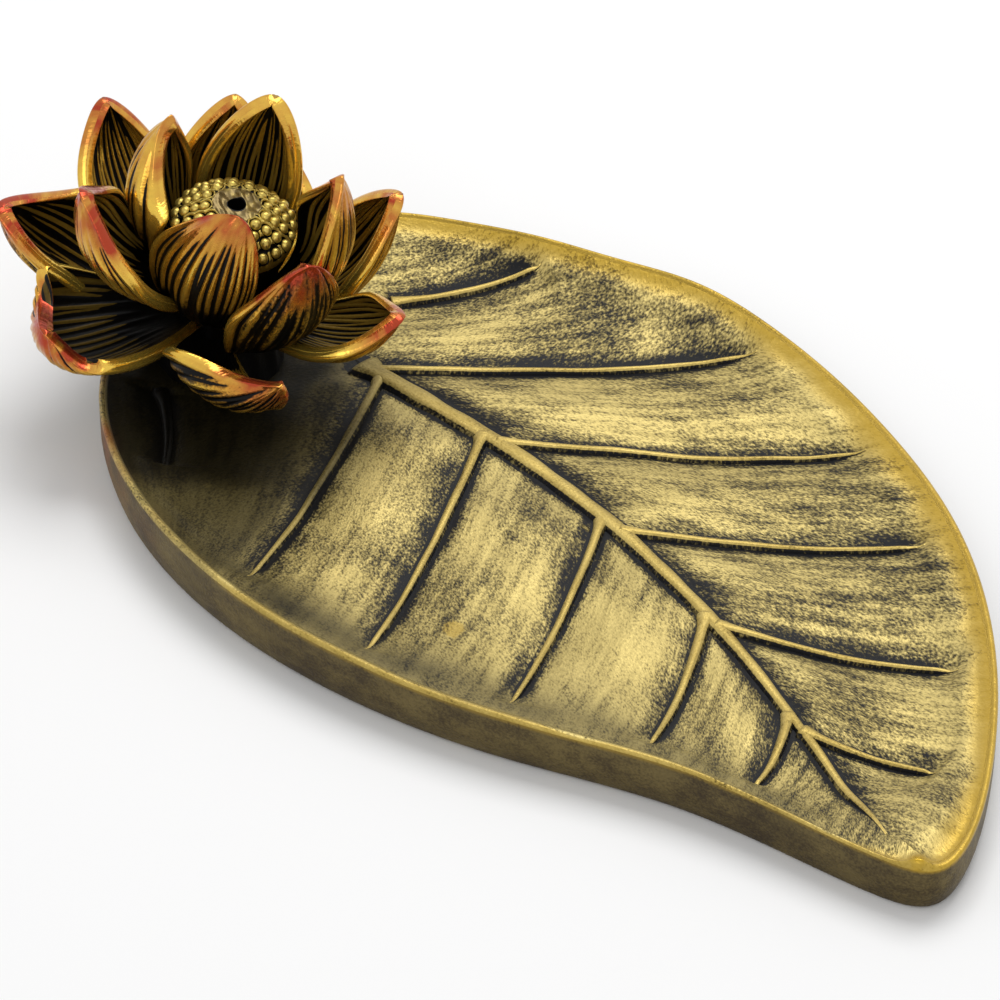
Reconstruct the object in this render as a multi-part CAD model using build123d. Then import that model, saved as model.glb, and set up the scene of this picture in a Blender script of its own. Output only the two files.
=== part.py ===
from build123d import *

import os
from dataclasses import dataclass
from math import atan2, cos, degrees, hypot, pi, radians, sin, sqrt

# Incense stick holder of cast resin: a leaf-shaped ash dish with a lotus flower at its stem end.
# Millimetres. The origin is on the standing surface under the flower, +X points along the leaf to
# its tip and +Z is up.

# Leaf dish
LEAF_LENGTH = 186.4
LEAF_WIDTH = 110.2
STEM_OVERHANG = 17.5
SIDE_OVERHANG = 39.9
RIM_HEIGHT_STEM = 10.5
RIM_HEIGHT_TIP = 7.7
RIM_WIDTH = 2.2
LIP_ROUND = 0.8
BASE_INSET = 1.2
FLOOR_HEIGHT = 4.0
DISH_CENTRE = (0.487, 0.503)

# Outline of the leaf, from the tip round by the near side: shares of its length and width
OUTLINE = [
    (1.000, 0.337),
    (0.962, 0.288),
    (0.800, 0.216),
    (0.640, 0.089),
    (0.398, 0.000),
    (0.165, 0.082),
    (0.036, 0.274),
    (0.000, 0.515),
    (0.035, 0.753),
    (0.222, 0.941),
    (0.345, 1.000),
    (0.584, 0.937),
    (0.773, 0.786),
    (0.929, 0.544),
]

# Rings of the hollow, from above the rim down to the floor: millimetres in from the rim's inner
# edge, and height above the floor as a share of the rim's height above it
HOLLOW_RINGS = [(-1.2, 1.30), (1.2, 0.74), (6.0, 0.40), (15.0, 0.12), (27.0, 0.0)]

# Veins: half widths and heights at the start and at the end
MIDRIB_HALF_WIDTH = (1.7, 0.7)
MIDRIB_RISE = (1.1, 0.6)
VEIN_HALF_WIDTH = (1.0, 0.5)
VEIN_RISE = (0.8, 0.5)
VEIN_CREST_SHARE = 0.4
VEIN_ROOT = 2.0
VEIN_BOW = 0.8
VEIN_STATIONS = 6

# Course of the midrib from the flower to the tip, in shares of the leaf's length and width
MIDRIB = [(0.180, 0.521), (0.425, 0.544), (0.628, 0.498), (0.809, 0.412), (0.944, 0.329)]

# Side veins that leave the midrib: share of its course, and the end near the rim
SIDE_VEINS = [
    (0.01, (0.402, 0.956)),
    (0.21, (0.570, 0.903)),
    (0.42, (0.695, 0.811)),
    (0.61, (0.829, 0.648)),
    (0.80, (0.906, 0.480)),
    (0.03, (0.379, 0.055)),
    (0.19, (0.515, 0.075)),
    (0.39, (0.638, 0.149)),
    (0.59, (0.745, 0.231)),
    (0.77, (0.828, 0.285)),
]

# Side veins that come out from under the flower: start and end
BASAL_VEINS = [((0.121, 0.656), (0.178, 0.866)), ((0.116, 0.238), (0.207, 0.130))]

# Flower: its axis leans along the leaf, so that the stick stands over the dish
FLOWER_LEAN = 13.0
RECEPTACLE_FOOT_RADIUS = 11.0
RECEPTACLE_TOP_RADIUS = 7.2
RECEPTACLE_HEIGHT = 18.0
CONE_SPARE_SHARE = 1.5
SEAT_CLEARANCE = 0.15
SPIGOT_RADIUS = 5.0
SPIGOT_END_GAP = 0.2
SOCKET_FLOOR = 1.4

# Seed pod with the hole for the stick
POD_RADIUS = 9.7
POD_FOOT_RADIUS = 6.8
POD_HEIGHT = 11.5
POD_SHOULDER_HEIGHT = RECEPTACLE_HEIGHT + POD_HEIGHT
POD_EDGE = 1.2
DOME_RISE = 5.0
DISC_RADIUS = 4.0
BORE_RADIUS = 1.4
BORE_DEPTH = 13.0

# Seeds standing on the dome
SEED_RADIUS = 0.72
SEED_HEIGHT = 0.75
SEED_TAPER = 20.0
SEED_SIDES = 5
SEED_PITCH = 2.45
SEED_ROWS = 4
SEED_MARGIN = 1.0

# Petals: where their roots enter the receptacle, below its top or above its foot, and the shape
# that they share
INNER_ROOT_DROP = 4.0
MIDDLE_ROOT_DROP = 8.0
OUTER_ROOT_HEIGHT = 6.0
PETAL_THICKNESS = 2.2
ROOT_DEPTH = 1.8
ROOT_WIDTH_SHARE = 0.36
WIDEST_AT = 0.55
TIP_BLUNTNESS = 0.6
ROOT_CUP_SHARE = 0.35
CUP_GROWTH = 1.3
ROLL_GROWTH = 2.0
SECTIONS = (0.0, 0.22, 0.45, 0.68, 0.88, 0.975)


@dataclass(frozen=True)
class Whorl:
    """A ring of petals: where the roots sit and how the petals leave the receptacle."""

    root_height: float
    root_slope: float
    root_pull: float
    tip_pull: float


@dataclass(frozen=True)
class Petal:
    """One petal: its turn about the flower axis, its tip's distance from the axis and rise above
    the whorl's root, its half width, bend and twist, its own root's lift, how much wider one half
    is than the other, and how quickly the tip narrows."""

    turn: float
    reach: float
    rise: float
    half_width: float
    curl: float
    cup: float
    sway: float
    roll: float
    lift: float
    skew: float
    tip_point: float


INNER = Whorl(RECEPTACLE_HEIGHT - INNER_ROOT_DROP, 20.0, 0.35, 0.45)
MIDDLE = Whorl(RECEPTACLE_HEIGHT - MIDDLE_ROOT_DROP, 20.0, 0.35, 0.45)
OUTER = Whorl(OUTER_ROOT_HEIGHT, 0.0, 0.40, 0.40)

PETALS = {
    "inner_petal_1": (INNER, Petal(130.2, 14.0, 31.3, 8.6, 104.6, 65.6, -1.9, -5.2, 0.7, -0.04, 0.41)),
    "inner_petal_2": (INNER, Petal(194.7, 15.1, 27.7, 9.5, 136.8, 87.9, -1.7, -7.6, 0.4, -0.39, 0.61)),
    "inner_petal_3": (INNER, Petal(249.5, 25.7, 26.6, 11.0, 106.0, 67.3, 0.3, -8.6, 1.2, -0.02, 0.53)),
    "inner_petal_4": (INNER, Petal(301.2, 10.8, 27.5, 9.6, 132.1, 60.6, 3.7, 4.0, 0.1, 0.25, 0.45)),
    "inner_petal_5": (INNER, Petal(36.3, 15.8, 32.0, 9.1, 123.2, 82.5, -0.7, 8.8, 0.2, -0.18, 0.58)),
    "middle_petal_1": (MIDDLE, Petal(144.7, 20.3, 29.0, 9.5, 100.1, 58.1, 0.1, -6.4, 0.3, 0.02, 0.56)),
    "middle_petal_2": (MIDDLE, Petal(356.0, 19.2, 26.6, 9.7, 116.6, 55.8, 0.4, -1.6, 0.1, 0.10, 0.51)),
    "outer_petal_1": (OUTER, Petal(128.0, 31.0, 16.0, 9.5, 95.0, 62.0, 0.0, 0.0, 0.0, 0.0, 0.5)),
    "outer_petal_2": (OUTER, Petal(178.0, 35.9, 22.5, 8.9, 91.1, 64.5, 0.3, -4.8, 0.0, -0.06, 0.51)),
    "outer_petal_3": (OUTER, Petal(222.5, 36.4, 22.0, 10.0, 85.3, 88.0, 5.3, 8.3, 2.0, 0.22, 0.44)),
    "outer_petal_4": (OUTER, Petal(262.1, 34.5, 16.0, 12.5, 107.3, 61.1, 3.2, -0.9, 6.0, 0.05, 0.43)),
    "outer_petal_5": (OUTER, Petal(317.7, 31.7, 20.6, 8.8, 106.8, 58.1, 10.7, 0.1, 4.9, 0.34, 0.53)),
    "outer_petal_6": (OUTER, Petal(28.6, 29.7, 17.7, 8.5, 85.0, 61.8, 0.6, 5.8, 5.5, 0.05, 0.51)),
    "outer_petal_7": (OUTER, Petal(74.0, 27.8, 25.4, 8.5, 94.9, 74.8, -1.5, -3.9, 0.9, 0.05, 0.48)),
}

BASE = (Align.CENTER, Align.CENTER, Align.MIN)

FLOWER = Plane(
    origin=(0, 0, FLOOR_HEIGHT),
    x_dir=(cos(radians(FLOWER_LEAN)), 0, -sin(radians(FLOWER_LEAN))),
    z_dir=(sin(radians(FLOWER_LEAN)), 0, cos(radians(FLOWER_LEAN))),
)


def leaf_point(share):
    """Place in plan of a point given as shares of the leaf's length and width."""
    along, across = share
    return along * LEAF_LENGTH - STEM_OVERHANG, across * LEAF_WIDTH - SIDE_OVERHANG


def rim_height(x):
    """Height of the rim, which falls evenly from the stem end to the tip."""
    share = (x + STEM_OVERHANG) / LEAF_LENGTH
    return RIM_HEIGHT_STEM + (RIM_HEIGHT_TIP - RIM_HEIGHT_STEM) * share


def leaf_ring(inset, height):
    """Closed curve inside the outline by the inset, at a height that is a function of x."""
    centre_x, centre_y = leaf_point(DISH_CENTRE)
    points = []
    for share in OUTLINE:
        x, y = leaf_point(share)
        keep = 1 - inset / hypot(x - centre_x, y - centre_y)
        x = centre_x + (x - centre_x) * keep
        y = centre_y + (y - centre_y) * keep
        points.append(Vector(x, y, height(x)))
    return Wire([Edge.make_spline(points, periodic=True, parameters=outline_parameters())])


def outline_parameters():
    """Spacing of the outline's points that keeps the curve calm round the narrow tip."""
    points = [leaf_point(share) for share in OUTLINE]
    spacing = [0.0]
    for (x, y), (next_x, next_y) in zip(points, points[1:] + points[:1]):
        spacing.append(spacing[-1] + sqrt(hypot(next_x - x, next_y - y)))
    return spacing


def leaf_blank():
    """The leaf before it is hollowed: a near upright wall with a rounded lip."""
    rings = [
        leaf_ring(BASE_INSET, lambda x: 0.0),
        leaf_ring(0.0, lambda x: rim_height(x) / 2),
        leaf_ring(0.0, lambda x: rim_height(x) - LIP_ROUND),
        leaf_ring(LIP_ROUND, rim_height),
    ]
    return Solid.make_loft(rings, ruled=True)


def leaf_hollow():
    """The space of the dish, from above the rim down to its floor."""
    rings = []
    for inset, share in HOLLOW_RINGS:
        rings.append(
            leaf_ring(
                RIM_WIDTH + inset,
                lambda x, share=share: FLOOR_HEIGHT + share * (rim_height(x) - FLOOR_HEIGHT),
            )
        )
    return Solid.make_loft(rings)


def between(ends, share):
    """Value that changes evenly from the first end to the second."""
    return ends[0] + (ends[1] - ends[0]) * share


def vein(dish, path, half_widths, rises):
    """Ridge that lies on the dish along a plan curve, and grows finer towards its end."""
    sections = []
    for index in range(VEIN_STATIONS):
        share = index / (VEIN_STATIONS - 1)
        spot = path.position_at(share)
        heading = path.tangent_at(share)
        hits = dish.find_intersection_points(Axis((spot.X, spot.Y, 0), (0, 0, 1)))
        top = max(hit[0].Z for hit in hits)
        plane = Plane((spot.X, spot.Y, top), x_dir=(-heading.Y, heading.X, 0), z_dir=heading)
        half = between(half_widths, share)
        rise = between(rises, share)
        crest = half * VEIN_CREST_SHARE
        corners = [(-half, -VEIN_ROOT), (-crest, rise), (crest, rise), (half, -VEIN_ROOT)]
        sections.append(plane * Polyline(*corners, close=True).wire())
    return Solid.make_loft(sections, ruled=True)


def side_path(start, end):
    """Plan course of a side vein: a shallow arc that bows towards the leaf's tip."""
    chord = end - start
    across = Vector(abs(chord.Y), -chord.X if chord.Y > 0 else chord.X, 0).normalized()
    return ThreePointArc(start, start + chord / 2 + across * VEIN_BOW, end)


def vein_paths():
    """Plan courses of the midrib and of every side vein, the midrib first."""
    midrib = Spline(*[Vector(*leaf_point(share)) for share in MIDRIB])
    paths = [midrib]
    for share, end in SIDE_VEINS:
        paths.append(side_path(midrib.position_at(share), Vector(*leaf_point(end))))
    for ends in BASAL_VEINS:
        paths.append(side_path(*[Vector(*leaf_point(end)) for end in ends]))
    return paths


def build_leaf():
    """Leaf dish with its veins, and the round seat and socket that take the flower."""
    dish = leaf_blank() - leaf_hollow()
    midrib, *sides = vein_paths()
    ridges = [vein(dish, midrib, MIDRIB_HALF_WIDTH, MIDRIB_RISE)]
    ridges += [vein(dish, path, VEIN_HALF_WIDTH, VEIN_RISE) for path in sides]
    seat_radius = RECEPTACLE_FOOT_RADIUS / cos(radians(FLOWER_LEAN)) + SEAT_CLEARANCE
    seat = Pos(0, 0, FLOOR_HEIGHT) * Cylinder(seat_radius, RIM_HEIGHT_STEM, align=BASE)
    socket = Pos(0, 0, SOCKET_FLOOR) * Cylinder(
        SPIGOT_RADIUS + SEAT_CLEARANCE, FLOOR_HEIGHT - SOCKET_FLOOR, align=BASE
    )
    leaf = dish
    for ridge in ridges:
        leaf = leaf + ridge
    return leaf - seat - socket


def receptacle_radius(height):
    """Radius of the receptacle's cone at a height above the seat, along the flower axis."""
    share = height / RECEPTACLE_HEIGHT
    return between((RECEPTACLE_FOOT_RADIUS, RECEPTACLE_TOP_RADIUS), share)


def build_receptacle():
    """Leaning cone that carries the petals and the pod, cut level at the seat, with its spigot."""
    below = RECEPTACLE_FOOT_RADIUS * sin(radians(FLOWER_LEAN)) * CONE_SPARE_SHARE
    profile = Polyline(
        (0, -below),
        (receptacle_radius(-below), -below),
        (RECEPTACLE_TOP_RADIUS, RECEPTACLE_HEIGHT),
        (0, RECEPTACLE_HEIGHT),
        close=True,
    )
    cone = FLOWER * revolve(Plane.XZ * make_face(profile), Axis.Z)
    seat = Pos(0, 0, FLOOR_HEIGHT) * Cylinder(
        RECEPTACLE_FOOT_RADIUS / cos(radians(FLOWER_LEAN)), 2 * RECEPTACLE_HEIGHT, align=BASE
    )
    spigot_end = SOCKET_FLOOR + SPIGOT_END_GAP
    spigot = Pos(0, 0, spigot_end) * Cylinder(SPIGOT_RADIUS, FLOOR_HEIGHT - spigot_end, align=BASE)
    return (cone & seat) + spigot


def dome_radius():
    """Radius of the sphere that the pod's dome is a cap of."""
    return (POD_RADIUS**2 + DOME_RISE**2) / (2 * DOME_RISE)


def dome_centre_height():
    """Height of that sphere's centre along the flower axis."""
    return POD_SHOULDER_HEIGHT + DOME_RISE - dome_radius()


def disc_height():
    """Height of the flat disc round the stick hole."""
    return dome_centre_height() + sqrt(dome_radius() ** 2 - DISC_RADIUS**2)


def build_pod():
    """Seed pod: an upturned cone with a domed face, and the blind hole for the stick."""
    middle = (POD_RADIUS + DISC_RADIUS) / 2
    middle_height = dome_centre_height() + sqrt(dome_radius() ** 2 - middle**2)
    lines = [
        Line((0, RECEPTACLE_HEIGHT), (POD_FOOT_RADIUS, RECEPTACLE_HEIGHT)),
        Line((POD_FOOT_RADIUS, RECEPTACLE_HEIGHT), (POD_RADIUS, POD_SHOULDER_HEIGHT - POD_EDGE)),
        Line((POD_RADIUS, POD_SHOULDER_HEIGHT - POD_EDGE), (POD_RADIUS, POD_SHOULDER_HEIGHT)),
        ThreePointArc(
            (POD_RADIUS, POD_SHOULDER_HEIGHT),
            (middle, middle_height),
            (DISC_RADIUS, disc_height()),
        ),
        Line((DISC_RADIUS, disc_height()), (0, disc_height())),
        Line((0, disc_height()), (0, RECEPTACLE_HEIGHT)),
    ]
    pod = revolve(Plane.XZ * make_face(lines), Axis.Z)
    bore = Pos(0, 0, disc_height() - BORE_DEPTH) * Cylinder(BORE_RADIUS, 2 * BORE_DEPTH, align=BASE)
    return FLOWER * (pod - bore)


def build_seeds():
    """Rows of small tapered seeds that stand square on the dome."""
    seed = extrude(RegularPolygon(SEED_RADIUS, SEED_SIDES), SEED_HEIGHT, taper=SEED_TAPER)
    seeds = []
    row_gap = (POD_RADIUS - SEED_MARGIN / 2 - DISC_RADIUS - SEED_MARGIN) / (SEED_ROWS - 1)
    for row in range(SEED_ROWS):
        ring = DISC_RADIUS + SEED_MARGIN + row * row_gap
        count = int(2 * pi * ring / SEED_PITCH)
        lean = degrees(atan2(ring, sqrt(dome_radius() ** 2 - ring**2)))
        for index in range(count):
            turn = 360 * (index + row / 2) / count
            place = Pos(0, 0, dome_centre_height()) * Rot(0, 0, turn) * Rot(0, lean, 0)
            seeds.append(FLOWER * place * Pos(0, 0, dome_radius()) * seed)
    return Compound(children=seeds)


def midline(whorl, petal, share):
    """Place and slope of a petal's midline: distance from the axis, height and their change."""
    root_height = whorl.root_height + petal.lift
    root = (receptacle_radius(root_height) - ROOT_DEPTH, root_height)
    tip = (petal.reach, whorl.root_height + petal.rise)
    span = hypot(tip[0] - root[0], tip[1] - root[1])
    start = radians(whorl.root_slope)
    end = radians(petal.curl)
    points = [
        root,
        (root[0] + whorl.root_pull * span * cos(start), root[1] + whorl.root_pull * span * sin(start)),
        (tip[0] - whorl.tip_pull * span * cos(end), tip[1] - whorl.tip_pull * span * sin(end)),
        tip,
    ]
    left = 1 - share
    weights = [left**3, 3 * left**2 * share, 3 * left * share**2, share**3]
    spot = [sum(w * p[axis] for w, p in zip(weights, points)) for axis in (0, 1)]
    slopes = [3 * left**2, 6 * left * share, 3 * share**2]
    step = [
        sum(w * (points[i + 1][axis] - points[i][axis]) for i, w in enumerate(slopes))
        for axis in (0, 1)
    ]
    size = hypot(*step)
    return spot, (step[0] / size, step[1] / size)


def petal_half_width(petal, share):
    """Half width along a petal: narrow at the root, widest past the middle, blunt at the tip."""
    if share < WIDEST_AT:
        root = ROOT_WIDTH_SHARE
        return petal.half_width * (root + (1 - root) * sin(pi / 2 * share / WIDEST_AT))
    fall = cos(pi / 2 * (share - WIDEST_AT) / (1 - WIDEST_AT)) ** petal.tip_point
    return petal.half_width * fall


def petal_section(whorl, petal, share):
    """Cupped cross-section of a petal: a slice of a ring, square to the midline."""
    (radius, height), (run, climb) = midline(whorl, petal, share)
    turn = radians(petal.turn)
    out = Vector(cos(turn), sin(turn), 0)
    aside = Vector(-sin(turn), cos(turn), 0)
    up = Vector(0, 0, 1)
    along = out * run + up * climb
    spot = out * radius + up * height + aside * (petal.sway * share**2)
    plane = Plane(spot, x_dir=aside, z_dir=along)
    plane = plane.rotated((0, 0, petal.roll * min(1.0, ROLL_GROWTH * share)))
    cup = radians(petal.cup) * min(1.0, ROOT_CUP_SHARE + CUP_GROWTH * share)
    outside = max(petal_half_width(petal, share) / sin(cup), PETAL_THICKNESS + TIP_BLUNTNESS)
    inside = outside - PETAL_THICKNESS

    def at(size, angle):
        return size * sin(angle), outside - size * cos(angle)

    first = -cup * (1 + petal.skew)
    middle = -cup * petal.skew
    last = cup * (1 - petal.skew)
    lines = [
        ThreePointArc(at(outside, first), at(outside, middle), at(outside, last)),
        Line(at(outside, last), at(inside, last)),
        ThreePointArc(at(inside, last), at(inside, middle), at(inside, first)),
        Line(at(inside, first), at(outside, first)),
    ]
    return plane * Wire(lines)


def build_petal(whorl, petal):
    """One petal, lofted from its root inside the receptacle to its blunt tip."""
    sections = [petal_section(whorl, petal, share) for share in SECTIONS]
    return FLOWER * Solid.make_loft(sections, ruled=True)


def trimmed(piece, others):
    """The main part of a piece, once it has been cut back to the pieces that it leans on."""
    for other in others:
        piece = piece - other
    return max(piece.solids(), key=lambda solid: solid.volume)


def main():
    nodes = {
        "leaf_dish": build_leaf(),
        "receptacle": build_receptacle(),
        "seed_pod": build_pod(),
        "seeds": build_seeds(),
    }
    core = [nodes["receptacle"], nodes["seed_pod"]]
    petals = {}
    for name, (whorl, petal) in PETALS.items():
        petals[name] = trimmed(build_petal(whorl, petal), core + list(petals.values()))
    nodes.update(petals)
    os.makedirs("parts", exist_ok=True)
    for name, piece in nodes.items():
        export_step(piece, f"parts/{name}.step")


main()
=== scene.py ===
import logging
from dataclasses import dataclass, field, replace
from enum import Enum
from math import cos, pi, radians, sin

import bpy
import numpy as np
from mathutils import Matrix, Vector
from mathutils.bvhtree import BVHTree


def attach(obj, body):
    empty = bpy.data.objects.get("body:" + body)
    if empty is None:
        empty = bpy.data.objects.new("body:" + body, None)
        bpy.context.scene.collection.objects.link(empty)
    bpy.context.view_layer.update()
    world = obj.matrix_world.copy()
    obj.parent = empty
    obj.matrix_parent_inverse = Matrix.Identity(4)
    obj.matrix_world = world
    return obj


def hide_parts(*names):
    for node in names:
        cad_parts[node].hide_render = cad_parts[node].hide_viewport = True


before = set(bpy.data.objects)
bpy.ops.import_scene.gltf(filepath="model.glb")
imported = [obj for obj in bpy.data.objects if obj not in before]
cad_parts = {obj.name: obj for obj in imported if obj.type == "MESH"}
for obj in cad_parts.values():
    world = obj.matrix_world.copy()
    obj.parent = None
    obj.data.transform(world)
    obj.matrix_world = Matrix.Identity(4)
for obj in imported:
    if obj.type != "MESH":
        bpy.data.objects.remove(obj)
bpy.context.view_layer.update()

# Incense stick holder of cast resin: a leaf-shaped ash dish with a lotus flower at its stem end.
# Sizes are in millimetres and turn into metres where a mesh is made. The origin is on the standing
# surface under the flower, +X points along the leaf to its tip and +Z is up.

MM = 0.001
BODY = "root"
LOG = logging.getLogger("incense_stick_holder")
Array = np.ndarray


class Slot(Enum):
    """Material slots of the record that the pieces take their finish from."""

    LEAF = "leaf_resin"
    PETAL = "petal_resin"
    POD = "pod_resin"
    RECEPTACLE = "receptacle_resin"


class Mark(Enum):
    """Named values that each vertex carries, which say how the paint lies there and where shade is painted.
    """

    WASH_AND_SHADE = "darkening"
    GILT = "gilt"
    COPPER = "copper"
    LINE = "line"
    HAZE = "haze"
    THIN = "thin"


GRAIN = "grain"
# Where the mark of a carved line turns from gold to black
LINE_EDGE = (0.35, 0.65)
# How far clouds, strokes and grit change the tone of the gold
TONE_WEIGHTS = (0.35, 0.45, 0.45)
COPPER_PATCHINESS = 0.5
# Sockets of a mix of colours, whose names are shared with those for numbers and vectors
MIX_SHARE, MIX_FIRST, MIX_SECOND, MIX_RESULT = 0, 6, 7, 2
COAT_ROUGHNESS = 0.2


def linear(colour: str) -> tuple[float, float, float, float]:
    """Turn an sRGB hex colour into linear light.

    Args:
        colour: the colour as "#rrggbb".

    Returns:
        Red, green, blue and an alpha of 1.
    """
    shares = [int(colour[i : i + 2], 16) / 255 for i in (1, 3, 5)]
    light = [s / 12.92 if s <= 0.04045 else ((s + 0.055) / 1.055) ** 2.4 for s in shares]
    return light[0], light[1], light[2], 1.0


def ease(low: float, high: float, value: Array) -> Array:
    """Rise smoothly from 0 at low to 1 at high, or fall where low is the larger."""
    share = np.clip((value - low) / (high - low), 0.0, 1.0)
    return share * share * (3 - 2 * share)


def soft_cap(value: Array, knee: float) -> Array:
    """Follow value up to 1 and stay there, with a round knee between."""
    bent = value - (value - 1 + knee) ** 2 / (4 * knee)
    return np.where(value < 1 - knee, value, np.where(value > 1 + knee, 1.0, bent))


def bell(value: Array) -> Array:
    """Fall smoothly from 1 at 0 to nothing on both sides."""
    return np.exp(-(value**2))


def ripple(points: Array, size: float, seed: int) -> Array:
    """Gentle unevenness of a hand-finished surface.

    Args:
        points: places in millimetres, with x, y and z last.
        size: about how wide a swell is, in millimetres.
        seed: picks one set of swells.

    Returns:
        A value from about -1 to 1 at each place.
    """
    rng = np.random.default_rng(seed)
    waves = 9
    total = np.zeros(points.shape[:-1])
    for _ in range(waves):
        heading = rng.normal(size=3)
        heading *= pi / size * rng.uniform(0.6, 1.5) / np.linalg.norm(heading)
        total += np.sin(points @ heading + rng.uniform(0, 2 * pi))
    return total / np.sqrt(waves)


def spline(points: Array, knots: Array, at: Array, closed: bool) -> Array:
    """Cubic spline through points, with a continuous bend.

    Args:
        points: one row for each point.
        knots: the parameter of each point, and of the first one again on a closed curve.
        at: parameters to work out.
        closed: whether the curve comes back to its first point.

    Returns:
        One row for each parameter.
    """
    if closed:
        points = np.vstack([points, points[:1]])
    last = len(points) - 1
    step = np.diff(knots)
    climb = np.diff(points, axis=0) / step[:, None]
    system = np.zeros((last + 1, last + 1))
    right = np.zeros_like(points)
    for i in range(1, last):
        near, far = 1 / step[i - 1], 1 / step[i]
        system[i, i - 1 : i + 2] = [near, 2 * (near + far), far]
        right[i] = 3 * (climb[i - 1] * near + climb[i] * far)
    if closed:
        near, far = 1 / step[-1], 1 / step[0]
        system[0, [0, last]] = [1, -1]
        system[last, [0, 1, last - 1, last]] += [2 * far, far, near, 2 * near]
        right[last] = 3 * (climb[-1] * near + climb[0] * far)
    else:
        system[0, :2] = [2, 1]
        system[last, -2:] = [1, 2]
        right[0], right[last] = 3 * climb[0], 3 * climb[-1]
    slopes = np.linalg.solve(system, right)
    span = np.clip(np.searchsorted(knots, at, side="right") - 1, 0, last - 1)
    width = step[span][:, None]
    t = (at[:, None] - knots[span][:, None]) / width
    start = points[span] * (1 + 2 * t) * (1 - t) ** 2 + slopes[span] * width * t * (1 - t) ** 2
    end = points[span + 1] * (3 - 2 * t) * t**2 + slopes[span + 1] * width * t**2 * (t - 1)
    return start + end


def grid_faces(rows: int, columns: int) -> Array:
    """Quads of a grid of closed rings, whose vertices run ring by ring.

    Args:
        rows: number of rings.
        columns: number of vertices in a ring.

    Returns:
        Four vertex numbers for each quad.
    """
    row, column = np.meshgrid(np.arange(rows - 1), np.arange(columns), indexing="ij")
    beside = (column + 1) % columns
    corners = [row * columns + column, row * columns + beside]
    corners += [(row + 1) * columns + beside, (row + 1) * columns + column]
    return np.stack(corners, axis=-1).reshape(-1, 4)


def fan_faces(ring: Array, pole: int, outward: bool) -> Array:
    """Triangles that close a ring of vertices on one pole.

    Args:
        ring: vertex numbers of the ring.
        pole: number of the vertex in its middle.
        outward: whether the triangles run with the ring or against it.

    Returns:
        Three vertex numbers for each triangle.
    """
    after = np.roll(ring, -1)
    poles = np.full_like(ring, pole)
    order = (poles, ring, after) if outward else (poles, after, ring)
    return np.stack(order, axis=-1)


def closed_faces(rows: int, columns: int, first: int = 0) -> list[Array]:
    """Faces of a grid of rings that closes on the two vertices after it, one at each end.

    Args:
        rows: number of rings.
        columns: number of vertices in a ring.
        first: number of the grid's first vertex.

    Returns:
        The quads, and the triangles at the first and at the last ring.
    """
    ring = np.arange(columns) + first
    after = first + rows * columns
    return [
        grid_faces(rows, columns) + first,
        fan_faces(ring, after, outward=False),
        fan_faces(ring + (rows - 1) * columns, after + 1, outward=True),
    ]


def level(spots: Array) -> Array:
    """Places in plan with a height of 0."""
    return np.column_stack([spots, np.zeros(len(spots))])


def run_along(course: Array) -> Array:
    """Length of the way from a course's first point to each of its points."""
    return np.concatenate([[0.0], np.cumsum(np.linalg.norm(np.diff(course, axis=0), axis=1))])


def make_piece(
    name: str,
    points: Array,
    faces: list[Array],
    marks: dict[Mark, Array],
    grain: Array,
    nodes: list[str],
) -> bpy.types.Object:
    """Make one smooth piece that rides on the part and stands for CAD nodes.

    Args:
        name: name of the piece.
        points: vertices in millimetres.
        faces: arrays of quads or triangles.
        marks: how the paint lies at each vertex.
        grain: coordinates for the brush strokes at each vertex, in millimetres.
        nodes: CAD nodes that the piece replaces.

    Returns:
        The new object.
    """
    mesh = bpy.data.meshes.new(name)
    mesh.from_pydata((points * MM).tolist(), [], [f for group in faces for f in group.tolist()])
    mesh.shade_smooth()
    for mark in Mark:
        values = np.broadcast_to(marks.get(mark, 0.0), len(points)).astype(np.float32)
        layer = mesh.attributes.new(mark.value, "FLOAT", "POINT")
        layer.data.foreach_set("value", np.clip(values, 0.0, 1.0))
    layer = mesh.attributes.new(GRAIN, "FLOAT_VECTOR", "POINT")
    layer.data.foreach_set("vector", grain.astype(np.float32).ravel())
    piece = bpy.data.objects.new(name, mesh)
    bpy.context.scene.collection.objects.link(piece)
    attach(piece, BODY)
    if nodes:
        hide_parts(*nodes)
    LOG.info("%s: %d vertices, %d faces", name, len(mesh.vertices), len(mesh.polygons))
    return piece


Tree = bpy.types.NodeTree
Socket = bpy.types.NodeSocket


def add_node(tree: Tree, kind: str, inputs: dict | None = None, **settings: object) -> bpy.types.Node:
    """Add a shader node with its settings, and set or link its inputs.

    Args:
        tree: node tree that takes the node.
        kind: type of the node, without the prefix that all of them share.
        inputs: a value, or an output socket to link, for each input by name or number.
        settings: properties of the node itself.

    Returns:
        The new node.
    """
    node = tree.nodes.new("ShaderNode" + kind)
    for key, value in settings.items():
        setattr(node, key, value)
    for key, value in (inputs or {}).items():
        if isinstance(value, bpy.types.NodeSocket):
            tree.links.new(value, node.inputs[key])
        else:
            node.inputs[key].default_value = value
    return node


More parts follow.
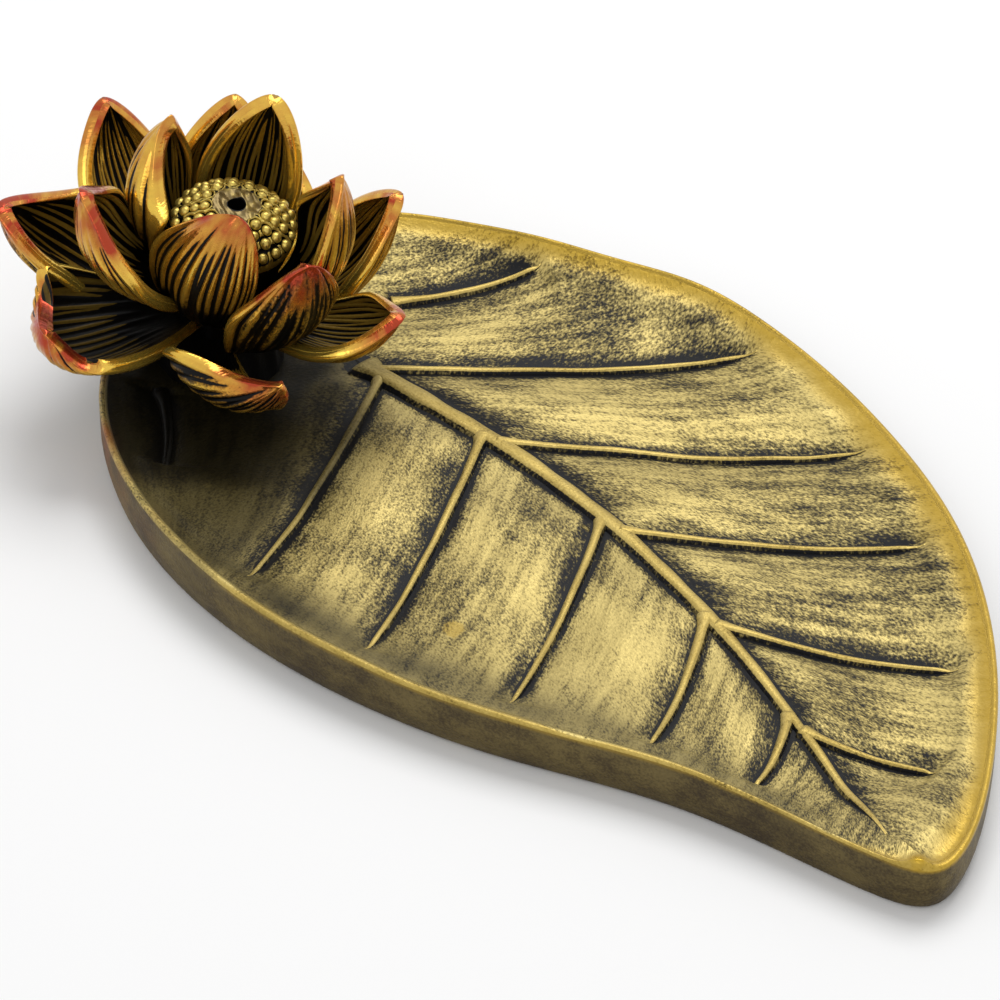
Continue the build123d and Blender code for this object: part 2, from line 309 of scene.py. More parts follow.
@dataclass(frozen=True)
class RubbedGilding:
    """Cast resin with a dark lacquer ground and metal paint rubbed or brushed over it.

    The ground stays in hollows as a blue-black satin, the metal breaks up into grit where the
    brush ran dry, and the edges that stand up are rubbed bright; on the petals' rims and ribs the
    rubbed gold also serves as a painted highlight. Sizes are in millimetres.
    """

    name: str
    ground: str
    # Dark tone that both the wash and the painted shade mix towards
    wash_and_shade_colour: str
    gold_light: str
    gold_deep: str
    rubbed: str
    copper: str
    stroke: tuple[float, float]
    blotch: tuple[float, float]
    cloud: tuple[float, float]
    grit: tuple[float, float]
    stroke_weight: float
    blotch_weight: float
    cloud_weight: float
    grit_weight: float
    tone: float
    cover: float
    line_weight: float
    thin_weight: float
    gilt_weight: float
    haze_depth: float
    softness: float
    metallic: float
    gold_roughness: float
    ground_roughness: float
    polish: float
    specular: float
    coat: float
    relief: float

    def build(self) -> bpy.types.Material:
        """Make the material.

        Returns:
            A material whose nodes read the marks and the grain that each piece carries.
        """
        material = bpy.data.materials.new(self.name)
        material.use_nodes = True
        tree = material.node_tree
        tree.nodes.clear()
        grain = add_node(tree, "Attribute", attribute_name=GRAIN).outputs["Vector"]
        mark = {
            mark: add_node(tree, "Attribute", attribute_name=mark.value).outputs["Fac"] for mark in Mark
        }
        strokes = self.pattern(tree, grain, self.stroke, detail=4.0, contrast=0.22)
        blotches = self.pattern(tree, grain, self.blotch, detail=3.0, contrast=0.20)
        clouds = self.pattern(tree, grain, self.cloud, detail=2.0, contrast=0.20)
        grit = self.pattern(tree, grain, self.grit, detail=2.0, contrast=0.24)
        lines = self.lines(tree, mark)
        weights = (
            (strokes, self.stroke_weight),
            (blotches, self.blotch_weight),
            (clouds, self.cloud_weight),
            (grit, self.grit_weight),
        )
        marked = (
            (lines, -self.line_weight),
            (mark[Mark.THIN], -self.thin_weight),
            (mark[Mark.GILT], self.gilt_weight),
        )
        amount: Socket | float = self.cover - sum(weight for _, weight in weights) / 2
        for value, weight in (*weights, *marked):
            inputs = {0: value, 1: weight, 2: amount}
            amount = add_node(tree, "Math", inputs, operation="MULTIPLY_ADD").outputs[0]
        limits = {"Value": amount, "From Min": -self.softness, "From Max": self.softness}
        metal = add_node(tree, "MapRange", limits, interpolation_type="SMOOTHSTEP").outputs[0]
        gold = self.gold(tree, mark, strokes, clouds, blotches, grit)
        inputs = {MIX_SHARE: metal, MIX_FIRST: linear(self.ground), MIX_SECOND: gold}
        colour = add_node(tree, "Mix", inputs, data_type="RGBA").outputs[MIX_RESULT]
        # The wash-and-shade mark darkens the colour towards one dark tone and takes the metal off: the brown
        # wash on the wall, the black spray round the flower, and painted shade round the flower, in the fold
        # inside the near rim and deep in the petals
        inputs = {MIX_SHARE: mark[Mark.WASH_AND_SHADE], MIX_FIRST: colour, MIX_SECOND: linear(self.wash_and_shade_colour)}
        colour = add_node(tree, "Mix", inputs, data_type="RGBA").outputs[MIX_RESULT]
        clear_of_wash_and_shade = add_node(tree, "Math", {0: 1.0, 1: mark[Mark.WASH_AND_SHADE]}, operation="SUBTRACT").outputs[0]
        metal = add_node(tree, "Math", {0: metal, 1: clear_of_wash_and_shade}, operation="MULTIPLY").outputs[0]
        shine = add_node(tree, "Math", {0: metal, 1: self.metallic}, operation="MULTIPLY").outputs[0]
        limits = {"Value": metal, "To Min": self.ground_roughness, "To Max": self.gold_roughness}
        roughness = add_node(tree, "MapRange", limits).outputs[0]
        inputs = {0: mark[Mark.GILT], 1: -self.polish, 2: roughness}
        roughness = add_node(tree, "Math", inputs, operation="MULTIPLY_ADD").outputs[0]
        inputs = {0: strokes, 1: grit, 2: metal}
        height = add_node(tree, "Math", inputs, operation="MULTIPLY_ADD").outputs[0]
        bump = add_node(tree, "Bump", {"Height": height, "Strength": 1.0, "Distance": self.relief * MM})
        inputs = {
            "Base Color": colour,
            "Metallic": shine,
            "Roughness": roughness,
            "Specular IOR Level": self.specular,
            "Normal": bump.outputs[0],
            "Coat Weight": self.coat,
            "Coat Roughness": COAT_ROUGHNESS,
        }
        shader = add_node(tree, "BsdfPrincipled", inputs)
        add_node(tree, "OutputMaterial", {"Surface": shader.outputs[0]})
        return material

    def lines(self, tree: Tree, mark: dict[Mark, Socket]) -> Socket:
        """Join the crisp carved lines and the haze beside them.

        Args:
            tree: node tree that takes the nodes.
            mark: sockets of the marks.

        Returns:
            How much of the metal is taken off, from 0 to 1.
        """
        limits = {"Value": mark[Mark.LINE], "From Min": LINE_EDGE[0], "From Max": LINE_EDGE[1]}
        line = add_node(tree, "MapRange", limits, interpolation_type="SMOOTHSTEP").outputs[0]
        limits = {"Value": mark[Mark.HAZE], "To Max": self.haze_depth}
        haze = add_node(tree, "MapRange", limits, interpolation_type="SMOOTHSTEP").outputs[0]
        return add_node(tree, "Math", {0: line, 1: haze}, operation="MAXIMUM").outputs[0]

    def gold(
        self,
        tree: Tree,
        mark: dict[Mark, Socket],
        strokes: Socket,
        clouds: Socket,
        blotches: Socket,
        grit: Socket,
    ) -> Socket:
        """Tone of the metal: uneven gold, rubbed bright in places and copper in others.

        Args:
            tree: node tree that takes the nodes.
            mark: sockets of the marks.
            strokes: brush strokes.
            clouds: broad changes of tone.
            blotches: patches that break up the copper.
            grit: fine grain of the paint.

        Returns:
            The colour's socket.
        """
        tone: Socket | float = self.tone
        for value, weight in zip((clouds, strokes, grit), TONE_WEIGHTS):
            inputs = {0: value, 1: weight, 2: tone}
            tone = add_node(tree, "Math", inputs, operation="MULTIPLY_ADD").outputs[0]
        light, deep = linear(self.gold_light), linear(self.gold_deep)
        inputs = {MIX_SHARE: tone, MIX_FIRST: deep, MIX_SECOND: light}
        gold = add_node(tree, "Mix", inputs, data_type="RGBA").outputs[MIX_RESULT]
        inputs = {MIX_SHARE: mark[Mark.GILT], MIX_FIRST: gold, MIX_SECOND: linear(self.rubbed)}
        gold = add_node(tree, "Mix", inputs, data_type="RGBA").outputs[MIX_RESULT]
        inputs = {0: blotches, 1: COPPER_PATCHINESS}
        patchy = add_node(tree, "Math", inputs, operation="ADD").outputs[0]
        inputs = {0: mark[Mark.COPPER], 1: patchy}
        warmth = add_node(tree, "Math", inputs, operation="MULTIPLY", use_clamp=True).outputs[0]
        inputs = {MIX_SHARE: warmth, MIX_FIRST: gold, MIX_SECOND: linear(self.copper)}
        return add_node(tree, "Mix", inputs, data_type="RGBA").outputs[MIX_RESULT]

    @staticmethod
    def pattern(
        tree: Tree, grain: Socket, size: tuple[float, float], detail: float, contrast: float
    ) -> Socket:
        """Noise along the grain, spread over 0 to 1.

        Args:
            tree: node tree that takes the nodes.
            grain: grain coordinates in millimetres.
            size: how long and how wide a patch is, in millimetres.
            detail: octaves of finer noise.
            contrast: how far from its mean the noise reaches 0 and 1.

        Returns:
            The value's socket.
        """
        scale = (1 / size[0], 1 / size[1], 1 / size[1])
        spread = add_node(tree, "VectorMath", {0: grain, 1: scale}, operation="MULTIPLY").outputs[0]
        noise = add_node(tree, "TexNoise", {"Vector": spread, "Scale": 1.0, "Detail": detail}).outputs[0]
        limits = {"Value": noise, "From Min": 0.5 - contrast, "From Max": 0.5 + contrast}
        return add_node(tree, "MapRange", limits).outputs[0]


# Antique gold paint dragged along the leaf with a nearly dry brush: dull gold that breaks up into
# smoky dark specks, streaked along the side veins. The specks are drawn a little coarser than the
# brush leaves them, so that they show.
LEAF_FINISH = RubbedGilding(
    name="cast_resin_dry_brushed_antique_gold",
    ground="#08090d",
    # Dark tone of the black spray and of the painted shade on the leaf
    wash_and_shade_colour="#080602",
    gold_light="#dfc97f",
    gold_deep="#7d6d3a",
    rubbed="#c09a24",
    copper="#b5673a",
    stroke=(14.0, 1.3),
    blotch=(6.5, 4.2),
    cloud=(18.0, 13.0),
    grit=(0.46, 0.34),
    stroke_weight=0.42,
    blotch_weight=0.45,
    cloud_weight=0.40,
    grit_weight=0.85,
    tone=-0.12,
    cover=0.54,
    line_weight=1.0,
    thin_weight=0.8,
    gilt_weight=0.7,
    haze_depth=0.66,
    softness=0.52,
    metallic=0.45,
    gold_roughness=0.44,
    ground_roughness=0.48,
    polish=0.20,
    specular=0.15,
    coat=0.0,
    relief=0.05,
)

# The same gold on the outside wall, thinned with a brown wash: a dull, cloudy bronze.
WALL_FINISH = replace(
    LEAF_FINISH,
    name="cast_resin_cloudy_bronze_wash",
    ground="#3b3020",
    wash_and_shade_colour="#2a2115",
    gold_light="#766740",
    gold_deep="#5a4d2f",
    copper="#9c5a3c",
    stroke=(5.0, 2.0),
    blotch=(5.0, 4.0),
    grit_weight=0.55,
    cover=0.40,
    softness=0.55,
    metallic=0.30,
    gold_roughness=0.50,
    ground_roughness=0.46,
)

# Bright gold lacquer rubbed over black on the petals, with copper red at the tips: polished
# ridges between black grooves. The rubbed gold on rims and rib crowns is also painted highlight,
# and the dark tone also paints the shade deep in the flower.
PETAL_FINISH = RubbedGilding(
    name="cast_resin_gold_lacquer_copper_tips",
    ground="#050404",
    wash_and_shade_colour="#050403",
    gold_light="#dca63a",
    gold_deep="#643f0e",
    rubbed="#f4d05a",
    copper="#a8422b",
    stroke=(12.0, 0.7),
    blotch=(6.0, 3.5),
    cloud=(12.0, 9.0),
    grit=(0.6, 0.4),
    stroke_weight=0.35,
    blotch_weight=0.25,
    cloud_weight=0.15,
    grit_weight=0.30,
    tone=-0.06,
    cover=0.48,
    line_weight=1.4,
    thin_weight=1.3,
    gilt_weight=0.8,
    haze_depth=1.0,
    softness=0.22,
    metallic=0.82,
    gold_roughness=0.20,
    ground_roughness=0.42,
    polish=0.06,
    specular=0.12,
    coat=0.03,
    relief=0.045,
)

# Gold rubbed over the black pod: olive beads, thin bright cups and black left round each of them.
POD_FINISH = replace(
    PETAL_FINISH,
    name="cast_resin_rubbed_gold_on_black_pod",
    gold_light="#cbb054",
    gold_deep="#76642f",
    rubbed="#dcc468",
    copper="#746440",
    stroke=(1.4, 1.0),
    blotch=(2.5, 2.0),
    cloud=(5.0, 4.0),
    metallic=0.70,
    gold_roughness=0.32,
)

# Black lacquer under the flower: a deep satin that shows little but its edges.
RECEPTACLE_FINISH = replace(
    PETAL_FINISH,
    name="cast_resin_black_lacquer",
    cover=-0.75,
    stroke=(6.0, 1.2),
)


@dataclass(frozen=True)
class Ridge:
    """A vein's half width and rise, at its start and at its end."""

    half_width: tuple[float, float]
    rise: tuple[float, float]

    def at(self, share: Array) -> tuple[Array, Array]:
        """Half width and rise at shares of the vein's course."""
        half = self.half_width[0] + (self.half_width[1] - self.half_width[0]) * share
        return half, self.rise[0] + (self.rise[1] - self.rise[0]) * share


@dataclass(frozen=True)
class PanelTone:
    """A place on the leaf where the gold is thinner, or thicker where the value is below 0: partly uneven
    brushing, partly painted light and shade of how the light falls on the panels.
    """

    place: tuple[float, float]
    radius: float
    thinness: float


@dataclass
class LeafDish:
    """Leaf-shaped dish: near upright wall, thin lip, sloping hollow and raised veins."""

    length: float = 186.4
    width: float = 110.2
    stem_overhang: float = 17.5
    side_overhang: float = 39.9
    rim_height_stem: float = 10.5
    rim_height_tip: float = 7.7
    base_inset: float = 1.2
    floor_height: float = 4.0
    lip_radius: float = 0.6
    lip_share: float = 0.10
    centre: tuple[float, float] = (0.487, 0.503)
    # Outline from the tip round by the near side: shares of the length and width
    outline: tuple[tuple[float, float], ...] = (
        (1.000, 0.337),
        (0.962, 0.288),
        (0.800, 0.216),
        (0.640, 0.089),
        (0.398, 0.000),
        (0.165, 0.082),
        (0.036, 0.274),
        (0.000, 0.515),
        (0.035, 0.753),
        (0.222, 0.941),
        (0.345, 1.000),
        (0.584, 0.937),
        (0.773, 0.786),
        (0.929, 0.544),
    )
    # Slope of the hollow: millimetres in from the outline, and share of the rim's height
    slope: tuple[tuple[float, float], ...] = (
        (2.2, 0.88),
        (3.4, 0.76),
        (5.6, 0.57),
        (8.2, 0.40),
        (12.4, 0.23),
        (17.2, 0.12),
        (22.6, 0.04),
        (29.2, 0.0),
    )
    midrib: tuple[tuple[float, float], ...] = (
        (0.180, 0.521),
        (0.425, 0.544),
        (0.628, 0.498),
        (0.809, 0.412),
        (0.944, 0.329),
    )
    # Side veins, far side then near side: share of the midrib's course, and the end
    far_veins: tuple[tuple[float, tuple[float, float]], ...] = (
        (0.01, (0.402, 0.956)),
        (0.21, (0.570, 0.903)),
        (0.42, (0.695, 0.811)),
        (0.61, (0.829, 0.648)),
        (0.80, (0.906, 0.480)),
    )
    near_veins: tuple[tuple[float, tuple[float, float]], ...] = (
        (0.03, (0.379, 0.055)),
        (0.19, (0.515, 0.075)),
        (0.39, (0.638, 0.149)),
        (0.59, (0.745, 0.231)),
        (0.77, (0.828, 0.285)),
    )
    far_basal: tuple[tuple[float, float], tuple[float, float]] = ((0.121, 0.656), (0.178, 0.866))
    near_basal: tuple[tuple[float, float], tuple[float, float]] = ((0.116, 0.238), (0.207, 0.130))
    midrib_ridge: Ridge = Ridge((2.15, 0.6), (1.05, 0.75))
    vein_ridge: Ridge = Ridge((0.95, 0.5), (0.95, 0.65))
    vein_bow: float = 0.8
    vein_flare: float = 0.6
    vein_root: float = 1.4
    vein_step: float = 0.45
    groove_depth: float = 0.35
    groove_width: float = 1.5
    panel_swell: float = 0.8
    panel_reach: float = 6.0
    # How far the black line and the haze reach from a vein, on its carved and on its smoky side; this black
    # is partly painted shade of the raised vein
    line_reach: tuple[float, float] = (1.7, 1.2)
    haze_reach: tuple[float, float] = (2.6, 4.6)
    # Spots of thinner or thicker gold: partly uneven brushing, partly painted light and shade across the
    # panels
    panel_tones: tuple[PanelTone, ...] = (
        PanelTone((104.0, 44.0), 24.0, 0.36),
        PanelTone((40.0, 60.0), 22.0, 0.36),
        PanelTone((4.0, 50.0), 16.0, 0.45),
        PanelTone((128.0, 22.0), 16.0, 0.14),
        PanelTone((60.0, -11.0), 15.0, 0.24),
        PanelTone((150.0, 4.0), 16.0, 0.12),
        PanelTone((97.0, -2.0), 18.0, -0.30),
        PanelTone((70.0, 36.0), 18.0, -0.14),
    )
    thinness: float = 0.3
    # Painted shade of the flower with the black spray under it: middle, radius where it is full and radius
    # where it ends
    shades: tuple[tuple[tuple[float, float], float, float], ...] = (
        ((4.0, -16.0), 23.0, 47.0),
        ((0.0, 0.0), 16.0, 32.0),
    )
    # Painted shade with a darker wash over the whole panel between the stem and the first near vein
    stem_panel_wash_and_shade: float = 0.86
    # Painted shade in the fold inside the near rim: strength, inset of its middle and spread
    fold_shade: float = 0.80
    fold_inset: float = 5.2
    fold_spread: float = 7.6
    tip_fill: tuple[float, float] = (26.0, 9.0)
    tip_sink: float = 0.35
    tip_bump: tuple[float, float] = (166.2, -5.2)
    tip_bump_radius: float = 1.8
    tip_bump_rise: float = 1.3
    # Unevenness of the floor and the rim's height, and of the edge of the painted shade round the flower
    floor_ripple: float = 0.12
    rim_ripple: float = 0.13
    shade_ripple: float = 2.5
    # Most that the painted shade and black spray cover round the flower, and the brown wash's usual cover on
    # the wall
    shade_wash: float = 0.97
    wall_wash: float = 0.12
    # Rubbed band inside the rim: width and brightness, what the near side lacks of each, and wobble
    band_width: tuple[float, float] = (6.5, 5.0)
    band_gilt: tuple[float, float] = (0.75, 0.35)
    band_ripple: float = 0.8
    band_in_shade: float = 0.8
    band_clears_wash_and_shade: float = 0.6
    # Copper on the rim at the stem end: middle, and distances where it ends and where it is full
    stem_copper: float = 0.7
    stem_copper_place: tuple[float, float] = (-10.0, -14.0)
    stem_copper_reach: tuple[float, float] = (60.0, 20.0)
    # Painted shade in the fold inside the near rim: unevenness, and how much of it is lost towards the tip
    fold_ripple: float = 0.12
    fold_fade: float = 0.35
    # How much of the lines beside a vein is lost at its end
    line_fade: float = 0.7
    # Section of a vein: half its span in half widths, the bend of its crown and the fall of its skirt
    vein_columns: int = 17
    vein_foot: float = 1.25
    vein_crown: tuple[float, float] = (2.6, 0.75)
    vein_skirt: float = 2.0
    # Unevenness of a vein's width and rise, run of the flare at its root, and width left at its end
    vein_wobble: tuple[float, float] = (0.07, 0.06)
    vein_flare_run: float = 2.2
    vein_end: float = 0.35
    # Rubbed gold on a vein's crown
    vein_gilt: float = 0.3
    # Brush coordinates: step from vein to vein, layer of each half, and layers of the veins
    grain_pitch: float = 20.0
    grain_layer: float = 40.0
    vein_layers: tuple[float, float] = (90.0, 13.0)
    # Bend of the wall's foot, and share of a half turn that the lip's section sweeps
    wall_flare: float = 1.6
    lip_sweep: float = 0.72
    # Vertices round the outline, and rows of the wall, the lip, the slope and the floor
    columns: int = 700
    wall_rows: int = 12
    lip_rows: int = 9
    slope_rows: int = 56
    floor_rows: int = 58

    def place(self, share: Array) -> Array:
        """Turn shares of the leaf's length and width into a place in plan."""
        low = np.array([self.stem_overhang, self.side_overhang])
        return np.asarray(share) * [self.length, self.width] - low

    def rim_height(self, x: Array) -> Array:
        """Height of the rim, which falls evenly from the stem end to the tip."""
        share = (x + self.stem_overhang) / self.length
        return self.rim_height_stem + (self.rim_height_tip - self.rim_height_stem) * share

    def rays(self) -> tuple[Array, Array, Array]:
        """Outline and way inward of each column, and the middle that all of them lead to.

        Returns:
            The outline's points, the change of place for each millimetre of inset, and the middle.
        """
        points = self.place(self.outline)
        middle = self.place(self.centre)
        inward = (middle - points) / np.linalg.norm(middle - points, axis=1)[:, None]
        chords = np.linalg.norm(np.roll(points, -1, axis=0) - points, axis=1)
        knots = np.concatenate([[0.0], np.cumsum(np.sqrt(chords))])
        at = np.linspace(0.0, knots[-1], self.columns, endpoint=False)
        curves = spline(np.hstack([points, inward]), knots, at, closed=True)
        return curves[:, :2], curves[:, 2:], middle

    def midrib_line(self) -> tuple[Array, Array]:
        """Course of the midrib in plan.

        Returns:
            Points along it, and the share of its course that each has run.
        """
        points = self.place(self.midrib)
        at = np.linspace(points[0, 0], points[-1, 0], 300)
        line = spline(points, points[:, 0], at, closed=False)
        run = run_along(line)
        return line, run / run[-1]

    def off_midrib(self, spots: Array) -> tuple[Array, Array]:
        """Where places lie beside the midrib.

        Args:
            spots: places in plan.

        Returns:
            Signed distance from the midrib, above 0 on the far side, and share of its course.
        """
        line, run = self.midrib_line()
        tilt = np.interp(spots[:, 0], line[:, 0], np.gradient(line[:, 1], line[:, 0]))
        off = (spots[:, 1] - np.interp(spots[:, 0], line[:, 0], line[:, 1])) / np.sqrt(1 + tilt**2)
        return off, np.interp(spots[:, 0], line[:, 0], run)

    def side_ends(self) -> tuple[list[tuple[Array, Array]], list[tuple[Array, Array]]]:
        """Starts and ends of the side veins in plan, from the stem on.

        Returns:
            A start and an end for each vein of the far side, and the same for the near side.
        """
        line, run = self.midrib_line()
        sides = []
        for basal, veins in ((self.far_basal, self.far_veins), (self.near_basal, self.near_veins)):
            ends = [(self.place(basal[0]), self.place(basal[1]))]
            for share, end in veins:
                start = np.array([np.interp(share, run, line[:, axis]) for axis in (0, 1)])
                ends.append((start, self.place(end)))
            sides.append(ends)
        return sides[0], sides[1]

    @staticmethod
    def vein_axes(start: Array, end: Array) -> tuple[Array, Array, float]:
        """Chord of a side vein, unit step from it towards the leaf's tip, and the chord's length.

        Args:
            start: where the vein leaves the midrib.
            end: where it fades out.

        Returns:
            The chord, the step and the length.
        """
        chord = end - start
        length = np.linalg.norm(chord)
        return chord, np.array([abs(chord[1]), -np.sign(chord[1]) * chord[0]]) / length, length

    def vein_offsets(self, spots: Array, start: Array, end: Array) -> tuple[Array, Array]:
        """Share along a side vein, and signed distance from it towards the leaf's tip.

        Args:
            spots: places in plan.
            start: where the vein leaves the midrib.
            end: where it fades out.

        Returns:
            The share and the distance for each place.
        """
        chord, across, length = self.vein_axes(start, end)
        share = (spots - start) @ chord / length**2
        held = np.clip(share, 0.0, 1.0)
        return share, (spots - start) @ across - self.vein_bow * 4 * held * (1 - held)

    def relief(self, spots: Array) -> tuple[Array, dict[Mark, Array]]:
        """Carving of the hollow: grooves beside the veins and the swell of the panels.

        Args:
            spots: places in plan.

        Returns:
            Height over the plain hollow, and how near each place is to a vein's lines.
        """
        off, share = self.off_midrib(spots)
        line, _ = self.midrib_line()
        past = np.maximum(spots[:, 0] - line[-1, 0], 0.0) + np.maximum(line[0, 0] - spots[:, 0], 0.0)
        courses = [(share, -off, ease(4.0, 0.0, past), self.midrib_ridge)]
        for side, ends in zip((1, -1), self.side_ends()):
            on_side = ease(-0.6, 0.6, off * side)
            for start, end in ends:
                share, away = self.vein_offsets(spots, start, end)
                shown = on_side * ease(-0.05, 0.02, share) * ease(1.05, 0.97, share)
                courses.append((np.clip(share, 0, 1), away, shown, self.vein_ridge))
        near = {mark: np.zeros(len(spots)) for mark in (Mark.LINE, Mark.HAZE)}
        groove = np.zeros(len(spots))
        panel = np.ones(len(spots))
        for share, away, shown, ridge in courses:
            beyond = np.maximum(np.abs(away) - ridge.at(share)[0], 0.0)
            # Black paint beside each vein, crisp on one side and soft on the other, partly painted shade of
            # the raised vein
            for mark, (carved, smoky) in ((Mark.LINE, self.line_reach), (Mark.HAZE, self.haze_reach)):
                reach = np.where(away > 0, carved, smoky)
                fading = shown * (1 - self.line_fade * ease(0.88, 1.0, share))
                near[mark] = np.maximum(near[mark], fading * np.clip(1 - beyond / reach, 0.0, 1.0))
            groove = np.maximum(groove, shown * bell(beyond / self.groove_width))
            panel = np.minimum(panel, 1 - shown * bell(beyond / self.panel_reach))
        height = self.panel_swell * panel - self.groove_depth * groove
        return height + self.floor_ripple * ripple(level(spots), size=9.0, seed=3), near

    def tip_glint(self, spots: Array) -> Array:
        """How near each place is to the rounded corner of the rim beside the tip."""
        return bell(np.linalg.norm(spots - self.tip_bump, axis=-1) / self.tip_bump_radius)

    def grain(self, spots: Array) -> Array:
        """Brush coordinates: along the side veins, and across them from vein to vein.

        Args:
            spots: places in plan.

        Returns:
            Three coordinates in millimetres for each place.
        """
        off, _ = self.off_midrib(spots)
        grain = np.zeros((len(spots), 3))
        for side, ends in zip((1, -1), self.side_ends()):
            chosen = off * side > 0
            offsets = np.stack([self.vein_offsets(spots, *pair)[1] for pair in ends])
            runs = np.stack([self.vein_offsets(spots, s, e)[0] * np.linalg.norm(e - s) for s, e in ends])
            rank = np.clip((offsets > 0).sum(axis=0) - 1, 0, len(ends) - 2)
            column = np.arange(len(spots))
            before, after = offsets[rank, column], offsets[rank + 1, column]
            share = before / np.where(np.abs(before - after) < 1e-6, 1e-6, before - after)
            share = np.clip(share, -2.0, 3.0)
            along = runs[rank, column] * (1 - share) + runs[rank + 1, column] * share
            layer = np.full(len(spots), side * self.grain_layer)
            values = np.column_stack([along, (rank + share) * self.grain_pitch, layer])
            grain[chosen] = values[chosen]
        return grain

    def shade(self, spots: Array) -> Array:
        """How far the painted shade of the flower, with the black spray under it, covers each place.

        Args:
            spots: places in plan.

        Returns:
            From 0 where there is none to 1 where it is full.
        """
        uneven = self.shade_ripple * ripple(level(spots), size=12.0, seed=5)
        layers = [
            ease(end, full, np.linalg.norm(spots - middle, axis=1) + uneven)
            for middle, full, end in self.shades
        ]
        first_vein = self.side_ends()[1][1]
        _, past_vein = self.vein_offsets(spots, *first_vein)
        off, _ = self.off_midrib(spots)
        # Painted shade with a darker wash over the panel between the stem and the first near vein
        layers.append(self.stem_panel_wash_and_shade * ease(1.5, -5.0, past_vein) * ease(0.0, -8.0, off))
        return np.max(layers, axis=0)

    def profile(self) -> tuple[Array, int]:
        """Section of the dish from the middle of its base over the wall and lip to the floor.

        Returns:
            Inset, start and share of the rim's height for each row, and the rows up to the lip's end.
        """
        rows = [(self.slope[-1][0], 0.0, 0.0), (12.0, 0.0, 0.0), (2.4, 0.0, 0.0), (1.5, 0.0, 0.01)]
        for step in np.linspace(0.06, 1.0, self.wall_rows):
            inset = self.base_inset * max(0.0, 1 - 2 * step) ** self.wall_flare
            rows.append((inset, step * self.floor_height * self.lip_share, step * (1 - self.lip_share)))
        for turn in np.linspace(0.0, self.lip_sweep * pi, self.lip_rows + 1)[1:]:
            share = 1 - self.lip_share * (1 - sin(turn))
            rows.append((self.lip_radius * (1 - cos(turn)), self.floor_height * (1 - share), share))
        rim_rows = len(rows)
        slope = np.array([(rows[-1][0], rows[-1][2]), *self.slope])
        insets = np.linspace(slope[0, 0], slope[-1, 0], self.slope_rows + 1)[1:]
        shares = spline(slope[:, 1:], slope[:, 0], insets, closed=False)[:, 0]
        rows += [(inset, self.floor_height * (1 - share), share) for inset, share in zip(insets, shares)]
        return np.array(rows), rim_rows

    def build(self) -> list[bpy.types.Object]:
        """Build the dish as one closed surface, lay the veins on it and dress both.

        Returns:
            The dish's object and the veins' object.
        """
        outline, inward, middle = self.rays()
        rows, rim_rows = self.profile()
        insets, starts, lifts = rows.T
        plan = outline[None] + insets[:, None, None] * inward[None]
        inner = np.linspace(0.0, 1.0, self.floor_rows + 1, endpoint=False)[1:, None, None]
        plan = np.concatenate([plan, plan[-1:] * (1 - inner) + middle * inner])
        starts = np.concatenate([starts, np.full(self.floor_rows, self.floor_height)])
        lifts = np.concatenate([lifts, np.zeros(self.floor_rows)])
        insets = np.concatenate([insets, np.full(self.floor_rows, insets[-1])])
        rim = self.rim_height(plan[..., 0])
        uneven = ripple(level(outline), size=15.0, seed=8)
        z = starts[:, None] + lifts[:, None] * rim + self.rim_ripple * lifts[:, None] ** 2 * uneven
        spots = plan[rim_rows:].reshape(-1, 2)
        carved, near = self.relief(spots)
        fade = ease(2.4, 6.5, insets[rim_rows:])
        to_tip = np.linalg.norm(plan[rim_rows:] - self.place(self.outline[0]), axis=-1)
        fill = ease(*self.tip_fill, to_tip)
        hollow = z[rim_rows:]
        hollow += fill * np.maximum(rim[rim_rows:] - self.tip_sink - hollow, 0.0)
        hollow += fade[:, None] * carved.reshape(hollow.shape)
        lip = slice(rim_rows - self.lip_rows, None)
        z[lip] += self.tip_bump_rise * self.tip_glint(plan[lip])
        points = np.concatenate([plan, z[..., None]], axis=-1).reshape(-1, 3)
        poles = np.array([[*middle, 0.0], [*middle, z[-1].mean()]])
        marks = self.marks(points, np.repeat(insets, self.columns), rim_rows, near, fade)
        edge = rim_rows * self.columns
        grain = np.concatenate([points[:edge], self.grain(spots), poles])
        points = np.concatenate([points, poles])
        faces = closed_faces(len(insets), self.columns)
        dish = make_piece("leaf_dish_carved", points, faces, marks, grain, ["leaf_dish"])
        finish = LEAF_FINISH.build()
        wall_quads = (rim_rows - self.lip_rows - 1) * self.columns
        self.dress(dish, finish, wall_quads, len(faces[0]))
        return [dish, self.build_veins(dish, finish)]

    def marks(
        self, points: Array, insets: Array, rim_rows: int, near: dict[Mark, Array], fade: Array
    ) -> dict[Mark, Array]:
        """Say how the paint lies on the wall, the lip and the hollow.

        Args:
            points: all vertices but the poles.
            insets: millimetres in from the outline, for each vertex.
            rim_rows: rows of the base, wall and lip.
            near: how near each vertex of the hollow is to a vein's lines.
            fade: how far the carving shows in each row of the hollow.

        Returns:
            The marks of every vertex.
        """
        edge = rim_rows * self.columns
        spots = points[:, :2]
        uneven = ripple(points, size=7.0, seed=11)
        off, _ = self.off_midrib(spots)
        near_side = ease(4.0, -8.0, off)
        shade = self.shade(spots)
        thin = np.full(len(points), self.thinness)
        # Thinner or thicker gold at spots: partly brushing, partly painted light and shade
        for tone_spot in self.panel_tones:
            away = np.linalg.norm(spots - tone_spot.place, axis=1) / tone_spot.radius
            thin += tone_spot.thinness * bell(away)
